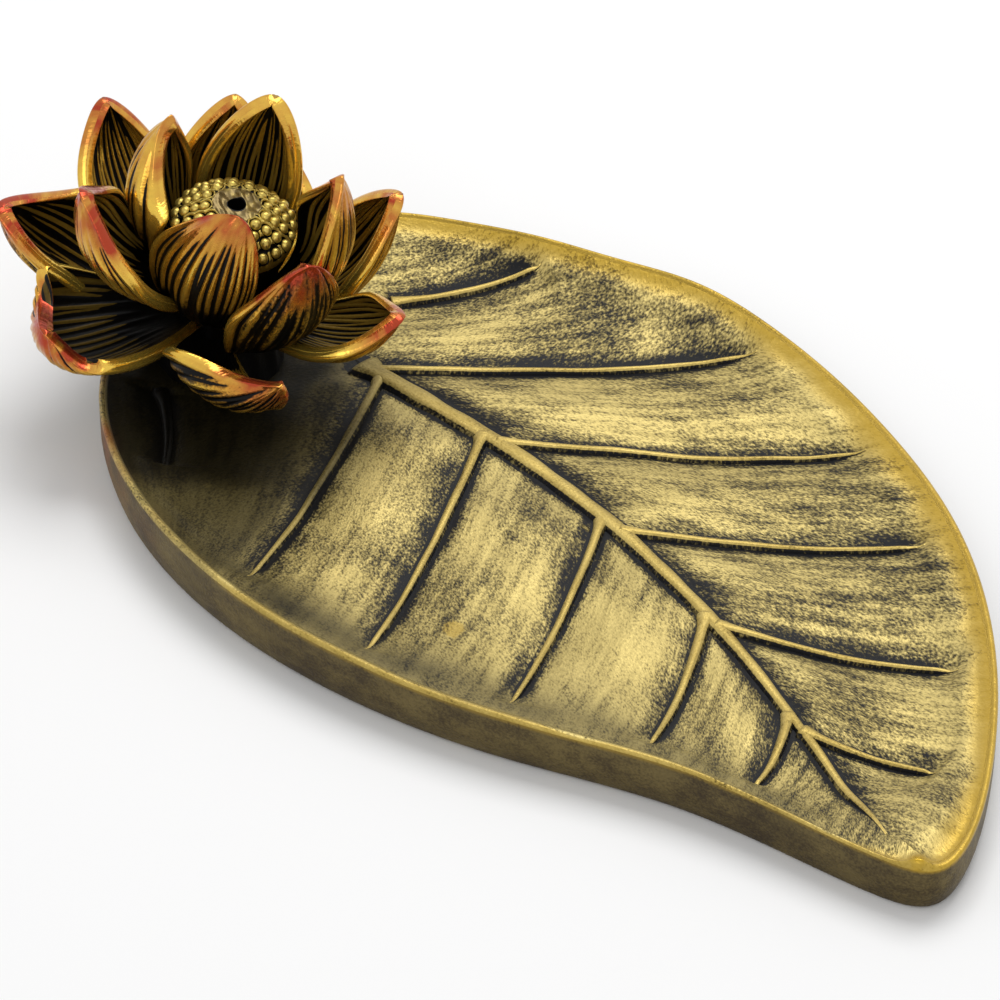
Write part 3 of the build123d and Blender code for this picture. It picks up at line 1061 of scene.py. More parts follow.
        # Painted shade in the fold inside the near rim, fading towards the tip
        near_fold_shade = bell((insets - self.fold_inset) / self.fold_spread)
        to_tip = np.linalg.norm(spots - self.place(self.outline[0]), axis=1)
        near_fold_shade = near_fold_shade * near_side * ease(8.0, 30.0, to_tip) * (1 + self.fold_ripple * uneven)
        near_fold_shade = near_fold_shade * (1 - self.fold_fade * ease(60.0, 120.0, spots[:, 0]))
        # Painted shade and black spray round the flower, painted shade in the fold, and an even brown wash on
        # the wall
        darkening = np.maximum(self.shade_wash * shade, self.fold_shade * near_fold_shade)
        darkening[:edge] = self.wall_wash + self.wall_wash * uneven[:edge]
        reach = self.band_width[0] - self.band_width[1] * near_side + self.band_ripple * uneven
        gilt = (self.band_gilt[0] - self.band_gilt[1] * near_side) * ease(1.0, 0.2, insets / reach)
        gilt = gilt * (1 - self.band_in_shade * shade)
        gilt = np.maximum(gilt, self.tip_glint(spots))
        gilt[: edge - (self.lip_rows + 1) * self.columns] = 0.0
        to_stem = np.linalg.norm(spots - self.stem_copper_place, axis=1)
        stem_rim = ease(*self.stem_copper_reach, to_stem) * ease(4.0, 1.0, insets)
        full = {
            Mark.WASH_AND_SHADE: darkening * (1 - self.band_clears_wash_and_shade * gilt),
            Mark.GILT: gilt,
            Mark.COPPER: self.stem_copper * stem_rim * (0.5 + 0.5 * uneven),
            Mark.THIN: thin,
        }
        for mark, values in near.items():
            full[mark] = np.concatenate([np.zeros(edge), values * np.repeat(fade, self.columns)])
        return {mark: np.concatenate([values, [0.0, 0.0]]) for mark, values in full.items()}

    def dress(self, dish: bpy.types.Object, finish: bpy.types.Material, wall: int, quads: int) -> None:
        """Give the hollow and lip the brushed gold, and the wall and base the bronze wash.

        Args:
            dish: the dish's object.
            finish: the leaf's material.
            wall: number of quads on the base and wall, which come first.
            quads: number of all quads, which the base's triangles follow.
        """
        dish.data.materials.append(finish)
        dish.data.materials.append(WALL_FINISH.build())
        slots = np.zeros(len(dish.data.polygons), dtype=np.int32)
        slots[:wall] = 1
        slots[quads : quads + self.columns] = 1
        dish.data.polygons.foreach_set("material_index", slots)

    def courses(self) -> list[tuple[Array, Ridge, int]]:
        """Course in plan of each vein, its ridge and the side of its carved line.

        Returns:
            Points from root to end, the ridge, and 1 where the line is on the left or -1 on the right.
        """
        courses = [(self.midrib_line()[0], self.midrib_ridge, -1)]
        for side, ends in zip((-1, 1), self.side_ends()):
            for start, end in ends:
                chord, across, length = self.vein_axes(start, end)
                share = np.linspace(0.0, 1.0, int(length / self.vein_step))[:, None]
                bow = self.vein_bow * 4 * share * (1 - share)
                courses.append((start + chord * share + across * bow, self.vein_ridge, side))
        return courses

    def build_veins(self, dish: bpy.types.Object, finish: bpy.types.Material) -> bpy.types.Object:
        """Sweep a rounded ridge along each vein, with its foot sunk in the dish.

        Args:
            dish: the dish that the veins lie on.
            finish: the leaf's material.

        Returns:
            The veins' object.
        """
        mesh = dish.data
        ground = BVHTree.FromPolygons(
            [vertex.co for vertex in mesh.vertices], [face.vertices for face in mesh.polygons]
        )
        down = Vector((0.0, 0.0, -1.0))
        across = np.linspace(self.vein_foot, -self.vein_foot, self.vein_columns)
        over = np.abs(across)
        dome = np.maximum(1 - over ** self.vein_crown[0], 0.0) ** self.vein_crown[1]
        crown = np.where(over < 1, dome, -self.vein_skirt * (over - 1))
        points, faces, grain, count = [], [], [], 0
        marks: dict[Mark, list[Array]] = {mark: [] for mark in (Mark.WASH_AND_SHADE, Mark.GILT, Mark.LINE)}
        for number, (course, ridge, side) in enumerate(self.courses()):
            heading = np.gradient(course, axis=0)
            heading /= np.linalg.norm(heading, axis=1)[:, None]
            left = np.column_stack([-heading[:, 1], heading[:, 0]])
            run = run_along(course)
            share = run / run[-1]
            half, rise = ridge.at(share)
            uneven = ripple(level(course), size=5.0, seed=30 + number)
            half = half * (1 + self.vein_wobble[0] * uneven)
            half = half * (1 + self.vein_flare * bell(run / self.vein_flare_run))
            half = half * (self.vein_end + (1 - self.vein_end) * ease(1.0, 0.93, share))
            rise = rise * (1 + self.vein_wobble[1] * uneven) * ease(1.0, 0.9, share)
            plan = course[:, None] + left[:, None] * (across[None] * half[:, None])[..., None]
            below = [
                ground.ray_cast(Vector((x * MM, y * MM, 1.0)), down)[0].z / MM for x, y in plan.reshape(-1, 2)
            ]
            below = np.array(below).reshape(plan.shape[:2])
            top = np.concatenate([plan, (below + crown * rise[:, None])[..., None]], axis=-1)
            foot = top[:, [-1, 0]] - [0.0, 0.0, self.vein_root]
            rings = np.concatenate([top, foot], axis=1)
            rows, columns = rings.shape[:2]
            poles = [rings[0].mean(axis=0), rings[-1].mean(axis=0)]
            points += [rings.reshape(-1, 3), np.array(poles)]
            faces += closed_faces(rows, columns, count)
            count += rows * columns + len(poles)
            wide = np.append(across, across[[-1, 0]])
            edge = np.where(wide * side > 0, ease(0.45, 1.0, np.abs(wide)), ease(0.7, 1.2, np.abs(wide)))
            # The painted shade and black spray round the flower reach over the veins too
            shaded = self.shade(course) ** 0.7
            fields = {
                Mark.WASH_AND_SHADE: np.repeat(shaded[:, None], columns, axis=1),
                Mark.GILT: self.vein_gilt * (1 - shaded[:, None]) * np.clip(1 - wide**2, 0.0, 1.0),
                Mark.LINE: np.repeat(edge[None], rows, axis=0),
            }
            for mark, values in fields.items():
                marks[mark].append(np.append(values.ravel(), [0.5, 0.5]))
            layer = self.vein_layers[0] + self.vein_layers[1] * number
            lanes = np.stack(np.broadcast_arrays(run[:, None], wide * half[:, None], layer), axis=-1)
            grain += [lanes.reshape(-1, 3), np.zeros((2, 3))]
        joined = {mark: np.concatenate(values) for mark, values in marks.items()}
        piece = make_piece(
            "leaf_veins", np.concatenate(points), faces, joined, np.concatenate(grain), []
        )
        piece.data.materials.append(finish)
        return piece


@dataclass(frozen=True)
class FlowerStand:
    """Receptacle's cone, and the leaning axis that the whole flower is set out on."""

    lean: float = 13.0
    seat_height: float = 4.0
    foot_radius: float = 11.0
    top_radius: float = 7.2
    height: float = 18.0

    def radius(self, height: Array) -> Array:
        """Radius of the cone at a height above the seat, along the axis."""
        return self.foot_radius + (self.top_radius - self.foot_radius) * height / self.height

    def to_part(self, points: Array) -> Array:
        """Move points from the flower's own axes to the part's.

        Args:
            points: places on the flower's axes, with x, y and z last.

        Returns:
            The same places in the part's frame.
        """
        lean = radians(self.lean)
        turned = np.array([[cos(lean), 0, -sin(lean)], [0, 1, 0], [sin(lean), 0, cos(lean)]])
        return points @ turned + [0, 0, self.seat_height]


STAND = FlowerStand()


@dataclass
class Receptacle:
    """Fluted cone between the petals, standing level on the leaf."""

    stand: FlowerStand = STAND
    flutes: int = 14
    flute_depth: float = 0.35
    waist: float = 0.2
    columns: int = 224
    rows: int = 40

    def build(self) -> bpy.types.Object:
        """Build the cone and dress it.

        Returns:
            The receptacle's object.
        """
        turn = np.linspace(0, 2 * pi, self.columns, endpoint=False)
        climb = np.linspace(0, 1, self.rows)[:, None]
        level_radius = self.stand.foot_radius / cos(radians(self.stand.lean))
        foot = np.column_stack([np.cos(turn), np.sin(turn), np.zeros(self.columns)]) * level_radius
        foot[:, 2] = self.stand.seat_height
        flute = self.flute_depth * np.cos(self.flutes * turn)
        crown_radius = self.stand.top_radius
        top = np.full(self.columns, self.stand.height)
        crown = np.column_stack([np.cos(turn) * crown_radius, np.sin(turn) * crown_radius, top])
        crown = self.stand.to_part(crown)
        points = foot[None] * (1 - climb[..., None]) + crown[None] * climb[..., None]
        bulge = np.sin(pi * climb) * (flute[None] - self.waist)
        points[..., 0] += bulge * np.cos(turn)
        points[..., 1] += bulge * np.sin(turn)
        points = points.reshape(-1, 3)
        last = (self.rows - 1) * self.columns
        poles = np.array([[0, 0, self.stand.seat_height], points[last:].mean(axis=0)])
        points = np.concatenate([points, poles])
        faces = closed_faces(self.rows, self.columns)
        piece = make_piece("receptacle_fluted", points, faces, {}, points, ["receptacle"])
        piece.data.materials.append(RECEPTACLE_FINISH.build())
        return piece


@dataclass(frozen=True)
class Whorl:
    """A ring of petals: where the roots sit and how the petals leave the receptacle."""

    root_height: float
    root_slope: float
    root_pull: float
    tip_pull: float


INNER = Whorl(14.0, 20.0, 0.35, 0.45)
MIDDLE = Whorl(10.0, 20.0, 0.35, 0.45)
OUTER = Whorl(6.0, 0.0, 0.40, 0.40)


@dataclass(frozen=True)
class Petal:
    """One cupped petal with a rolled rim, grooves outside and fine ridges inside."""

    name: str
    whorl: Whorl
    turn: float
    reach: float
    rise: float
    half_width: float
    curl: float
    cup: float
    sway: float
    roll: float
    lift: float
    skew: float
    tip_point: float
    copper: float
    seed: int
    # Wear outside, which also adds painted shade inside, and painted shade inside, beyond what every petal
    # has
    wear_and_shade: float = 0.0
    hollow: float = 0.0
    # What all petals share, in millimetres, shares and numbers of lines
    stand: FlowerStand = STAND
    thickness: float = 2.2
    root_depth: float = 1.8
    root_width_share: float = 0.36
    widest_at: float = 0.55
    tip_bluntness: float = 0.6
    root_cup_share: float = 0.35
    cup_growth: float = 1.3
    roll_growth: float = 2.0
    knee: float = 0.2
    rim: float = 1.8
    rim_swell: float = 0.26
    recess: float = 0.6
    grooves: int = 14
    groove_depth: float = 0.62
    groove_width: float = 0.42
    crown_width: float = 0.8
    ridges: int = 17
    ridge_rise: float = 0.38
    ridge_width: float = 0.36
    ridge_seed: int = 50
    # Painted shade towards the root outside and inside, over the black paint there, and gold left off the
    # inside
    dusk: float = 0.88
    gloom: float = 0.74
    inside_thinness: float = 0.25
    # Paint in the grooves, and gold on the ridges deep inside and what it gains beside the rim
    groove_paint: float = 0.82
    ridge_paint: tuple[float, float] = (1.2, 2.4)
    # Rubbed gold on the rim and on the crown of each rib, also painted highlight there
    rim_gilt_and_highlight: float = 0.9
    rib_gilt_and_highlight: float = 0.7
    ridge_gilt: float = 0.6
    # Brush coordinates: the petal's length, the inner face's layer, and the step from petal to petal
    grain_length: float = 40.0
    inner_layer: float = 30.0
    grain_step: float = 7.0
    # How far the rows of the mesh draw together towards the tip
    row_crowding: float = 1.35
    rows: int = 96
    columns: int = 113

    def midline(self, share: Array) -> tuple[Array, Array]:
        """Course of the petal's middle, as distance from the axis and height.

        Args:
            share: share of the way from root to tip.

        Returns:
            The places and the unit steps along the course.
        """
        root_height = self.whorl.root_height + self.lift
        root = np.array([self.stand.radius(root_height) - self.root_depth, root_height])
        tip = np.array([self.reach, self.whorl.root_height + self.rise])
        span = np.linalg.norm(tip - root)
        start, end = radians(self.whorl.root_slope), radians(self.curl)
        first = root + self.whorl.root_pull * span * np.array([cos(start), sin(start)])
        second = tip - self.whorl.tip_pull * span * np.array([cos(end), sin(end)])
        t = share[:, None]
        spot = root * (1 - t) ** 3 + 3 * first * t * (1 - t) ** 2 + 3 * second * t**2 * (1 - t) + tip * t**3
        step = (first - root) * (1 - t) ** 2 + 2 * (second - first) * t * (1 - t) + (tip - second) * t**2
        return spot, step / np.linalg.norm(step, axis=1)[:, None]

    def half_width_at(self, share: Array) -> Array:
        """Half width along the petal: narrow at the root, pointed at the tip.

        Args:
            share: share of the way from root to tip.

        Returns:
            The half width at each share.
        """
        swell = np.sin(pi / 2 * np.minimum(share / self.widest_at, 1.0))
        rooted = self.root_width_share + (1 - self.root_width_share) * swell
        late = np.clip((share - self.widest_at) / (1 - self.widest_at), 0.0, 1.0)
        return self.half_width * rooted * np.cos(pi / 2 * late) ** self.tip_point

    def lines(self, share: Array, across: Array, arc: Array, count: int, width: float, seed: int) -> Array:
        """Fine lines that run from root to tip and draw together there.

        Args:
            share: share of the way from root to tip, by row.
            across: place from edge to edge, from -1 to 1, by column.
            arc: half width over the curve, by row.
            count: number of lines.
            width: half width of a line.
            seed: picks the lines' unevenness.

        Returns:
            1 on a line and 0 off it, by row and column.
        """
        rng = np.random.default_rng(seed)
        total = np.zeros((len(share), len(across)))
        for index in range(count):
            spot = -0.9 + 1.8 * (index + 0.5 + rng.uniform(-0.22, 0.22)) / count
            wobble = spot + 0.02 * np.sin(share * rng.uniform(5, 9) + rng.uniform(0, 2 * pi))
            start, end = rng.uniform(0.05, 0.20), rng.uniform(0.98, 1.16)
            shown = ease(start, start + 0.2, share) * ease(end, end - 0.36, share) * rng.uniform(0.72, 1.0)
            off = (across[None, :] - wobble[:, None]) * arc[:, None] / (width * rng.uniform(0.8, 1.25))
            total = np.maximum(total, shown[:, None] * bell(off))
        return total

    def build(self, finish: bpy.types.Material) -> bpy.types.Object:
        """Build the petal as one closed shell and dress it.

        Args:
            finish: the petals' material.

        Returns:
            The petal's object.
        """
        share = 1 - (1 - np.linspace(0.0, 1.0, self.rows)) ** self.row_crowding
        across = np.sin(np.linspace(-pi / 2, pi / 2, self.columns))
        half = np.maximum(self.half_width_at(share), 1e-4)
        cup = radians(self.cup) * soft_cap(self.root_cup_share + self.cup_growth * share, self.knee)
        blunt = self.thickness + self.tip_bluntness
        outside = ((half / np.sin(cup)) ** 4 + blunt**4) ** 0.25
        spread = np.arcsin(half / outside)
        arc = outside * spread
        leaning = across - self.skew * across**2
        to_rim = np.where(across > 0, 1 - self.skew - leaning, 1 + self.skew + leaning)
        edge = to_rim[None, :] * arc[:, None]
        body = self.thickness / 2
        near_edge = np.clip(1 - edge / body, 0.0, 1.0)
        thick = body * np.sqrt(1 - near_edge**2) * (1 + self.rim_swell * np.exp(-((edge / self.rim) ** 4)))
        clear = ease(self.rim * 0.2, self.rim * 0.75, edge)
        groove, crown = (
            self.lines(share, across, arc, self.grooves, width, self.seed) * ease(0.3, 1.5, edge)
            for width in (self.groove_width, self.crown_width)
        )
        ridge = self.lines(share, across, arc, self.ridges, self.ridge_width, self.seed + self.ridge_seed)
        ridge *= clear
        middle = (outside - body)[:, None]
        outer = middle + thick - self.groove_depth * (0.5 * groove + 0.5 * crown)
        inner = middle - thick + self.recess * clear - self.ridge_rise * ridge
        angle = leaning[None, :] * spread[:, None]
        shell = [self.surface(share, outside, size, angle) for size in (outer, inner)]
        return self.shell_piece(shell, share, across, arc, edge, groove, crown, ridge, clear, finish)

    def surface(self, share: Array, outside: Array, size: Array, angle: Array) -> Array:
        """Points of one face in the part's frame.

        Args:
            share: share of the way from root to tip, by row.
            outside: radius of the cupped section, by row.
            size: distance from the section's middle, by row and column.
            angle: angle round the section, by row and column.

        Returns:
            A grid of points.
        """
        spot, step = self.midline(share)
        turn = radians(self.turn)
        out = np.array([cos(turn), sin(turn), 0.0])
        aside = np.array([-sin(turn), cos(turn), 0.0])
        up = np.array([0.0, 0.0, 1.0])
        inward = -step[:, 1:] * out + step[:, :1] * up
        roll = np.radians(self.roll) * soft_cap(self.roll_growth * share, self.knee)[:, None]
        wide = np.cos(roll) * aside + np.sin(roll) * inward
        deep = np.cos(roll) * inward - np.sin(roll) * aside
        place = spot[:, :1] * out + spot[:, 1:] * up + aside * (self.sway * share**2)[:, None]
        x = (size * np.sin(angle))[..., None]
        y = (outside[:, None] - size * np.cos(angle))[..., None]
        points = place[:, None] + wide[:, None] * x + deep[:, None] * y
        return self.stand.to_part(points)

    def shell_piece(
        self,
        shell: list[Array],
        share: Array,
        across: Array,
        arc: Array,
        edge: Array,
        groove: Array,
        crown: Array,
        ridge: Array,
        clear: Array,
        finish: bpy.types.Material,
    ) -> bpy.types.Object:
        """Join the two faces at the rim and say how the paint lies on them.

        Args:
            shell: points of the outer and of the inner face.
            share: share of the way from root to tip, by row.
            across: place from edge to edge, by column.
            arc: half width over the curve, by row.
            edge: distance from the rim, by row and column.
            groove: the outer face's grooves.
            crown: the grooves with their flanks, 0 on the crown of each rib.
            ridge: the inner face's ridges.
            clear: 1 inside the rolled rim, 0 on it.
            finish: the petals' material.

        Returns:
            The petal's object.
        """
        loop = 2 * self.columns - 2
        ring = [shell[0][:-1], shell[1][:-1, -2:0:-1]]
        points = np.concatenate(ring, axis=1).reshape(-1, 3)
        tip = shell[0][-1].mean(axis=0)
        points = np.concatenate([points, tip[None]])
        rows = self.rows - 1
        quads = grid_faces(rows, loop)
        left = np.arange(self.columns - 1)
        back = (loop - left) % loop
        root = np.stack([left + 1, left, back, (loop - left - 1) % loop], axis=-1)
        root = [root[1:-1], root[:1, [0, 1, 3]], root[-1:, [1, 2, 3]]]
        faces = [quads, *root, fan_faces(np.arange(loop) + (rows - 1) * loop, len(points) - 1, outward=True)]
        t = share[:, None]
        # Towards the root the gold thins to black and painted shade darkens the petal outside and inside: the
        # shade that the petals cast on each other, over the black paint there
        deep = ease(0.58, 0.20, t)
        dusk = self.dusk * ease(0.68, 0.22, t)
        gloom = self.gloom * ease(0.86, 0.22, t)
        wear_and_shade = np.maximum(deep, self.wear_and_shade) * ease(0.4, 3.0, edge)
        flank = ease(5.5, 0.8, edge)
        fill = np.minimum((self.ridge_paint[0] + self.ridge_paint[1] * flank) * ridge, 1.0)
        inside = ease(0.35, 0.95, edge) * (1 - fill * ease(0.10, 0.4, t))
        # Painted shade inside the petal, deepest towards the root
        shadow = np.maximum(gloom * ease(0.4, 3.6, edge), max(self.wear_and_shade, self.hollow) * clear)
        # Rubbed gold on the rim's crest and on the rib crowns, which also paints their highlights
        rim_gilt_and_highlight = self.rim_gilt_and_highlight * ease(0.9, 0.1, edge) * ease(0.05, 0.4, t)
        rib_gilt_and_highlight = self.rib_gilt_and_highlight * ease(0.75, 0.2, crown) * ease(0.3, 0.7, t) * (1 - wear_and_shade)
        warm = self.copper * (ease(0.68, 1.0, t) + 0.35 * ease(1.6, 0.2, edge) * ease(0.4, 0.9, t))
        marks = {
            Mark.WASH_AND_SHADE: (dusk * ease(0.2, 2.4, edge), shadow),
            Mark.LINE: (self.groove_paint * groove, inside),
            Mark.THIN: (wear_and_shade, self.inside_thinness * ease(0.6, 1.6, edge)),
            Mark.GILT: (np.maximum(rim_gilt_and_highlight, rib_gilt_and_highlight), np.maximum(rim_gilt_and_highlight, self.ridge_gilt * ridge)),
            Mark.COPPER: (np.broadcast_to(warm, edge.shape), warm * (1 - clear)),
        }
        joined = {mark: self.around(*pair) for mark, pair in marks.items()}
        run = np.broadcast_to(t * self.grain_length, edge.shape)
        side = across[None, :] * arc[:, None]
        plain = np.zeros_like(edge)
        axes = [self.around(run, run), self.around(side, side), self.around(plain, plain + self.inner_layer)]
        grain = np.column_stack(axes) + self.seed * self.grain_step
        piece = make_piece(self.name + "_carved", points, faces, joined, grain, [self.name])
        piece.data.materials.append(finish)
        return piece

    @staticmethod
    def around(outer: Array, inner: Array) -> Array:
        """Values of the two faces in the order of the shell's vertices, the tip last."""
        loop = np.concatenate([outer[:-1], inner[:-1, -2:0:-1]], axis=1).ravel()
        return np.append(loop, outer[-1].mean())


@dataclass
class SeedPod:
    """Upturned cone with a domed face of seed cups, a rough disc and the stick's hole."""

    stand: FlowerStand = STAND
    radius: float = 9.7
    foot_radius: float = 6.8
    body_height: float = 11.5
    edge: float = 1.2
    dome_rise: float = 5.0
    disc_radius: float = 4.0
    bore_radius: float = 1.4
    bore_depth: float = 13.0
    seed_radius: float = 0.92
    seed_sink: float = 0.15
    seed_pitch: float = 2.45
    seed_rows: int = 4
    seed_margin: float = 1.0
    cup_radius: float = 1.16
    cup_width: float = 0.17
    cup_rise: float = 0.42
    columns: int = 448
    # Rows of the wall, its edge, the dome, the disc and the hole, and the hole's worn lip
    wall_rows: int = 24
    edge_rows: int = 6
    dome_rows: int = 56
    disc_rows: int = 24
    bore_rows: int = 12
    bore_lip: float = 0.15
    # Fine and broad unevenness of the disc
    disc_rough: tuple[float, float] = (0.16, 0.14)
    bead_columns: int = 18
    bead_rows: int = 9
    # Share of a half turn that a bead's section sweeps
    bead_sweep: float = 0.78
    # Gold on the beads, depth inside a cup, gold on its edge, and the disc's own tone
    bead_gilt: float = 0.45
    pit_depth: float = 0.25
    cup_gilt: float = 0.35
    disc_copper: float = 0.9

    def shoulder(self) -> float:
        """Height of the dome's foot along the flower axis."""
        return self.stand.height + self.body_height

    def dome_radius(self) -> float:
        """Radius of the sphere that the dome is a cap of."""
        return (self.radius**2 + self.dome_rise**2) / (2 * self.dome_rise)

    def dome_centre(self) -> float:
        """Height of that sphere's middle along the flower axis."""
        return self.shoulder() + self.dome_rise - self.dome_radius()

    def dome_height(self, ring: Array) -> Array:
        """Height of the dome at a distance from the axis."""
        return self.dome_centre() + np.sqrt(self.dome_radius() ** 2 - ring**2)

    def seed_spots(self) -> list[tuple[float, float]]:
        """Places of the seeds on the dome, row by row.

        Returns:
            Distance from the axis and turn of each seed.
        """
        room = self.radius - self.seed_margin / 2 - self.disc_radius - self.seed_margin
        gap = room / (self.seed_rows - 1)
        spots = []
        for row in range(self.seed_rows):
            ring = self.disc_radius + self.seed_margin + row * gap
            count = int(2 * pi * ring / self.seed_pitch)
            spots += [(ring, 2 * pi * (index + row / 2) / count) for index in range(count)]
        return spots

    def profile(self) -> tuple[Array, Array]:
        """Section of the pod from its foot over the dome and the disc to the hole's floor.

        Returns:
            Distance from the axis and height of each row.
        """
        shoulder = self.shoulder()
        disc = float(self.dome_height(np.array(self.disc_radius)))
        corners = [(self.foot_radius, self.stand.height), (self.radius, shoulder - self.edge)]
        sides = [np.linspace(corners[0], corners[1], self.wall_rows, endpoint=False)]
        sides.append(np.linspace(corners[1], (self.radius, shoulder), self.edge_rows, endpoint=False))
        rings = np.linspace(self.radius, self.disc_radius, self.dome_rows, endpoint=False)
        sides.append(np.column_stack([rings, self.dome_height(rings)]))
        sides.append(np.linspace((self.disc_radius, disc), (self.bore_radius, disc), self.disc_rows))
        bore = [(self.bore_radius, disc - depth) for depth in (self.bore_lip, self.bore_depth)]
        sides.append(np.linspace(*bore, self.bore_rows))
        rows = np.concatenate(sides)
        return rows[:, 0], rows[:, 1]

    def build(self) -> list[bpy.types.Object]:
        """Build the pod and its seeds and dress them.

        Returns:
            The pod's object and the seeds' object.
        """
        ring, height = self.profile()
        turn = np.linspace(0, 2 * pi, self.columns, endpoint=False)
        r, t = np.meshgrid(ring, turn, indexing="ij")
        z = np.repeat(height[:, None], self.columns, axis=1)
        on_dome = (height >= self.shoulder() - 0.3)[:, None] & (r > self.bore_radius + 0.05)
        flat = np.stack([r * np.cos(t), r * np.sin(t)], axis=-1)
        nearest = np.full(r.shape, 1e3)
        for spot_ring, spot_turn in self.seed_spots():
            spot = np.array([spot_ring * cos(spot_turn), spot_ring * sin(spot_turn)])
            nearest = np.minimum(nearest, np.linalg.norm(flat - spot, axis=-1))
        cup = bell((nearest - self.cup_radius) / self.cup_width) * on_dome
        pit = ease(self.cup_radius, self.cup_radius - 0.3, nearest) * on_dome
        disc = ease(self.disc_radius + 0.2, self.disc_radius - 0.5, r) * on_dome
        solid = np.concatenate([flat, z[..., None]], axis=-1)
        rough = ripple(solid, size=0.8, seed=21) * self.disc_rough[0]
        rough += ripple(solid, size=1.9, seed=22) * self.disc_rough[1]
        z = z + self.cup_rise * cup * (1 - disc) - self.pit_depth * pit + rough * disc
        points = self.stand.to_part(np.concatenate([flat, z[..., None]], axis=-1).reshape(-1, 3))
        rows = len(ring)
        poles = self.stand.to_part(np.array([[0, 0, self.stand.height], [0, 0, height[-1]]]))
        points = np.concatenate([points, poles])
        faces = closed_faces(rows, self.columns)
        side = ease(self.shoulder() - 0.2, self.shoulder() - 4.0, z) * ~on_dome
        hole = ease(self.bore_radius + 0.25, self.bore_radius, r)
        between = on_dome * (1 - cup) * (1 - disc)
        darkening = np.maximum.reduce([pit, between, side, hole, 0.1 * disc - 0.9 * rough * disc])
        gilt = self.cup_gilt * cup * (1 - disc)
        marks = {Mark.LINE: darkening, Mark.GILT: gilt, Mark.COPPER: self.disc_copper * disc}
        marks = {mark: np.append(values.ravel(), [1.0, 1.0]) for mark, values in marks.items()}
        finish = POD_FINISH.build()
        pod = make_piece("seed_pod_cupped", points, faces, marks, points, ["seed_pod"])
        pod.data.materials.append(finish)
        return [pod, self.build_seeds(finish)]

    def build_seeds(self, finish: bpy.types.Material) -> bpy.types.Object:
        """Build the beads that sit in the cups.

        Args:
            finish: the pod's material.

        Returns:
            The seeds' object.
        """
        rng = np.random.default_rng(9)
        turn = np.linspace(0, 2 * pi, self.bead_columns, endpoint=False)
        fall = np.linspace(0, self.bead_sweep * pi, self.bead_rows + 1)[1:, None]
        unit = np.stack(
            [np.sin(fall) * np.cos(turn), np.sin(fall) * np.sin(turn), np.cos(fall) + 0 * turn], axis=-1
        ).reshape(-1, 3)
        unit = np.concatenate([unit, [[0, 0, 1.0], [0, 0, cos(self.bead_sweep * pi)]]])
        ring = np.arange(self.bead_columns)
        last = (self.bead_rows - 1) * self.bead_columns
        shape = [
            grid_faces(self.bead_rows, self.bead_columns)[:, ::-1],
            fan_faces(ring, len(unit) - 2, outward=True),
            fan_faces(ring + last, len(unit) - 1, outward=False),
        ]
        points, faces, darkening = [], [], []
        for number, (spot_ring, spot_turn) in enumerate(self.seed_spots()):
            size = self.seed_radius * rng.uniform(0.9, 1.08)
            stretch = np.array([rng.uniform(0.94, 1.06), rng.uniform(0.94, 1.06), rng.uniform(0.9, 1.05)])
            bead = unit * size * stretch
            lean = np.arctan2(spot_ring, np.sqrt(self.dome_radius() ** 2 - spot_ring**2))
            tilt = np.array([[np.cos(lean), 0, -np.sin(lean)], [0, 1, 0], [np.sin(lean), 0, np.cos(lean)]])
            swing = np.array(
                [[cos(spot_turn), sin(spot_turn), 0], [-sin(spot_turn), cos(spot_turn), 0], [0, 0, 1]]
            )
            centre = np.array([0, 0, self.dome_radius() - self.seed_sink])
            placed = (bead + centre) @ tilt @ swing + [0, 0, self.dome_centre()]
            points.append(self.stand.to_part(placed))
            faces += [group + number * len(unit) for group in shape]
            # Each bead turns darker towards its bottom
            darkening.append(ease(0.6, -0.1, unit[:, 2]))
        points = np.concatenate(points)
        darkening = np.concatenate(darkening)
        marks = {Mark.LINE: darkening, Mark.GILT: self.bead_gilt * (1 - darkening)}
        seeds = make_piece("seeds_beaded", points, faces, marks, points, ["seeds"])
        seeds.data.materials.append(finish)
        return seeds


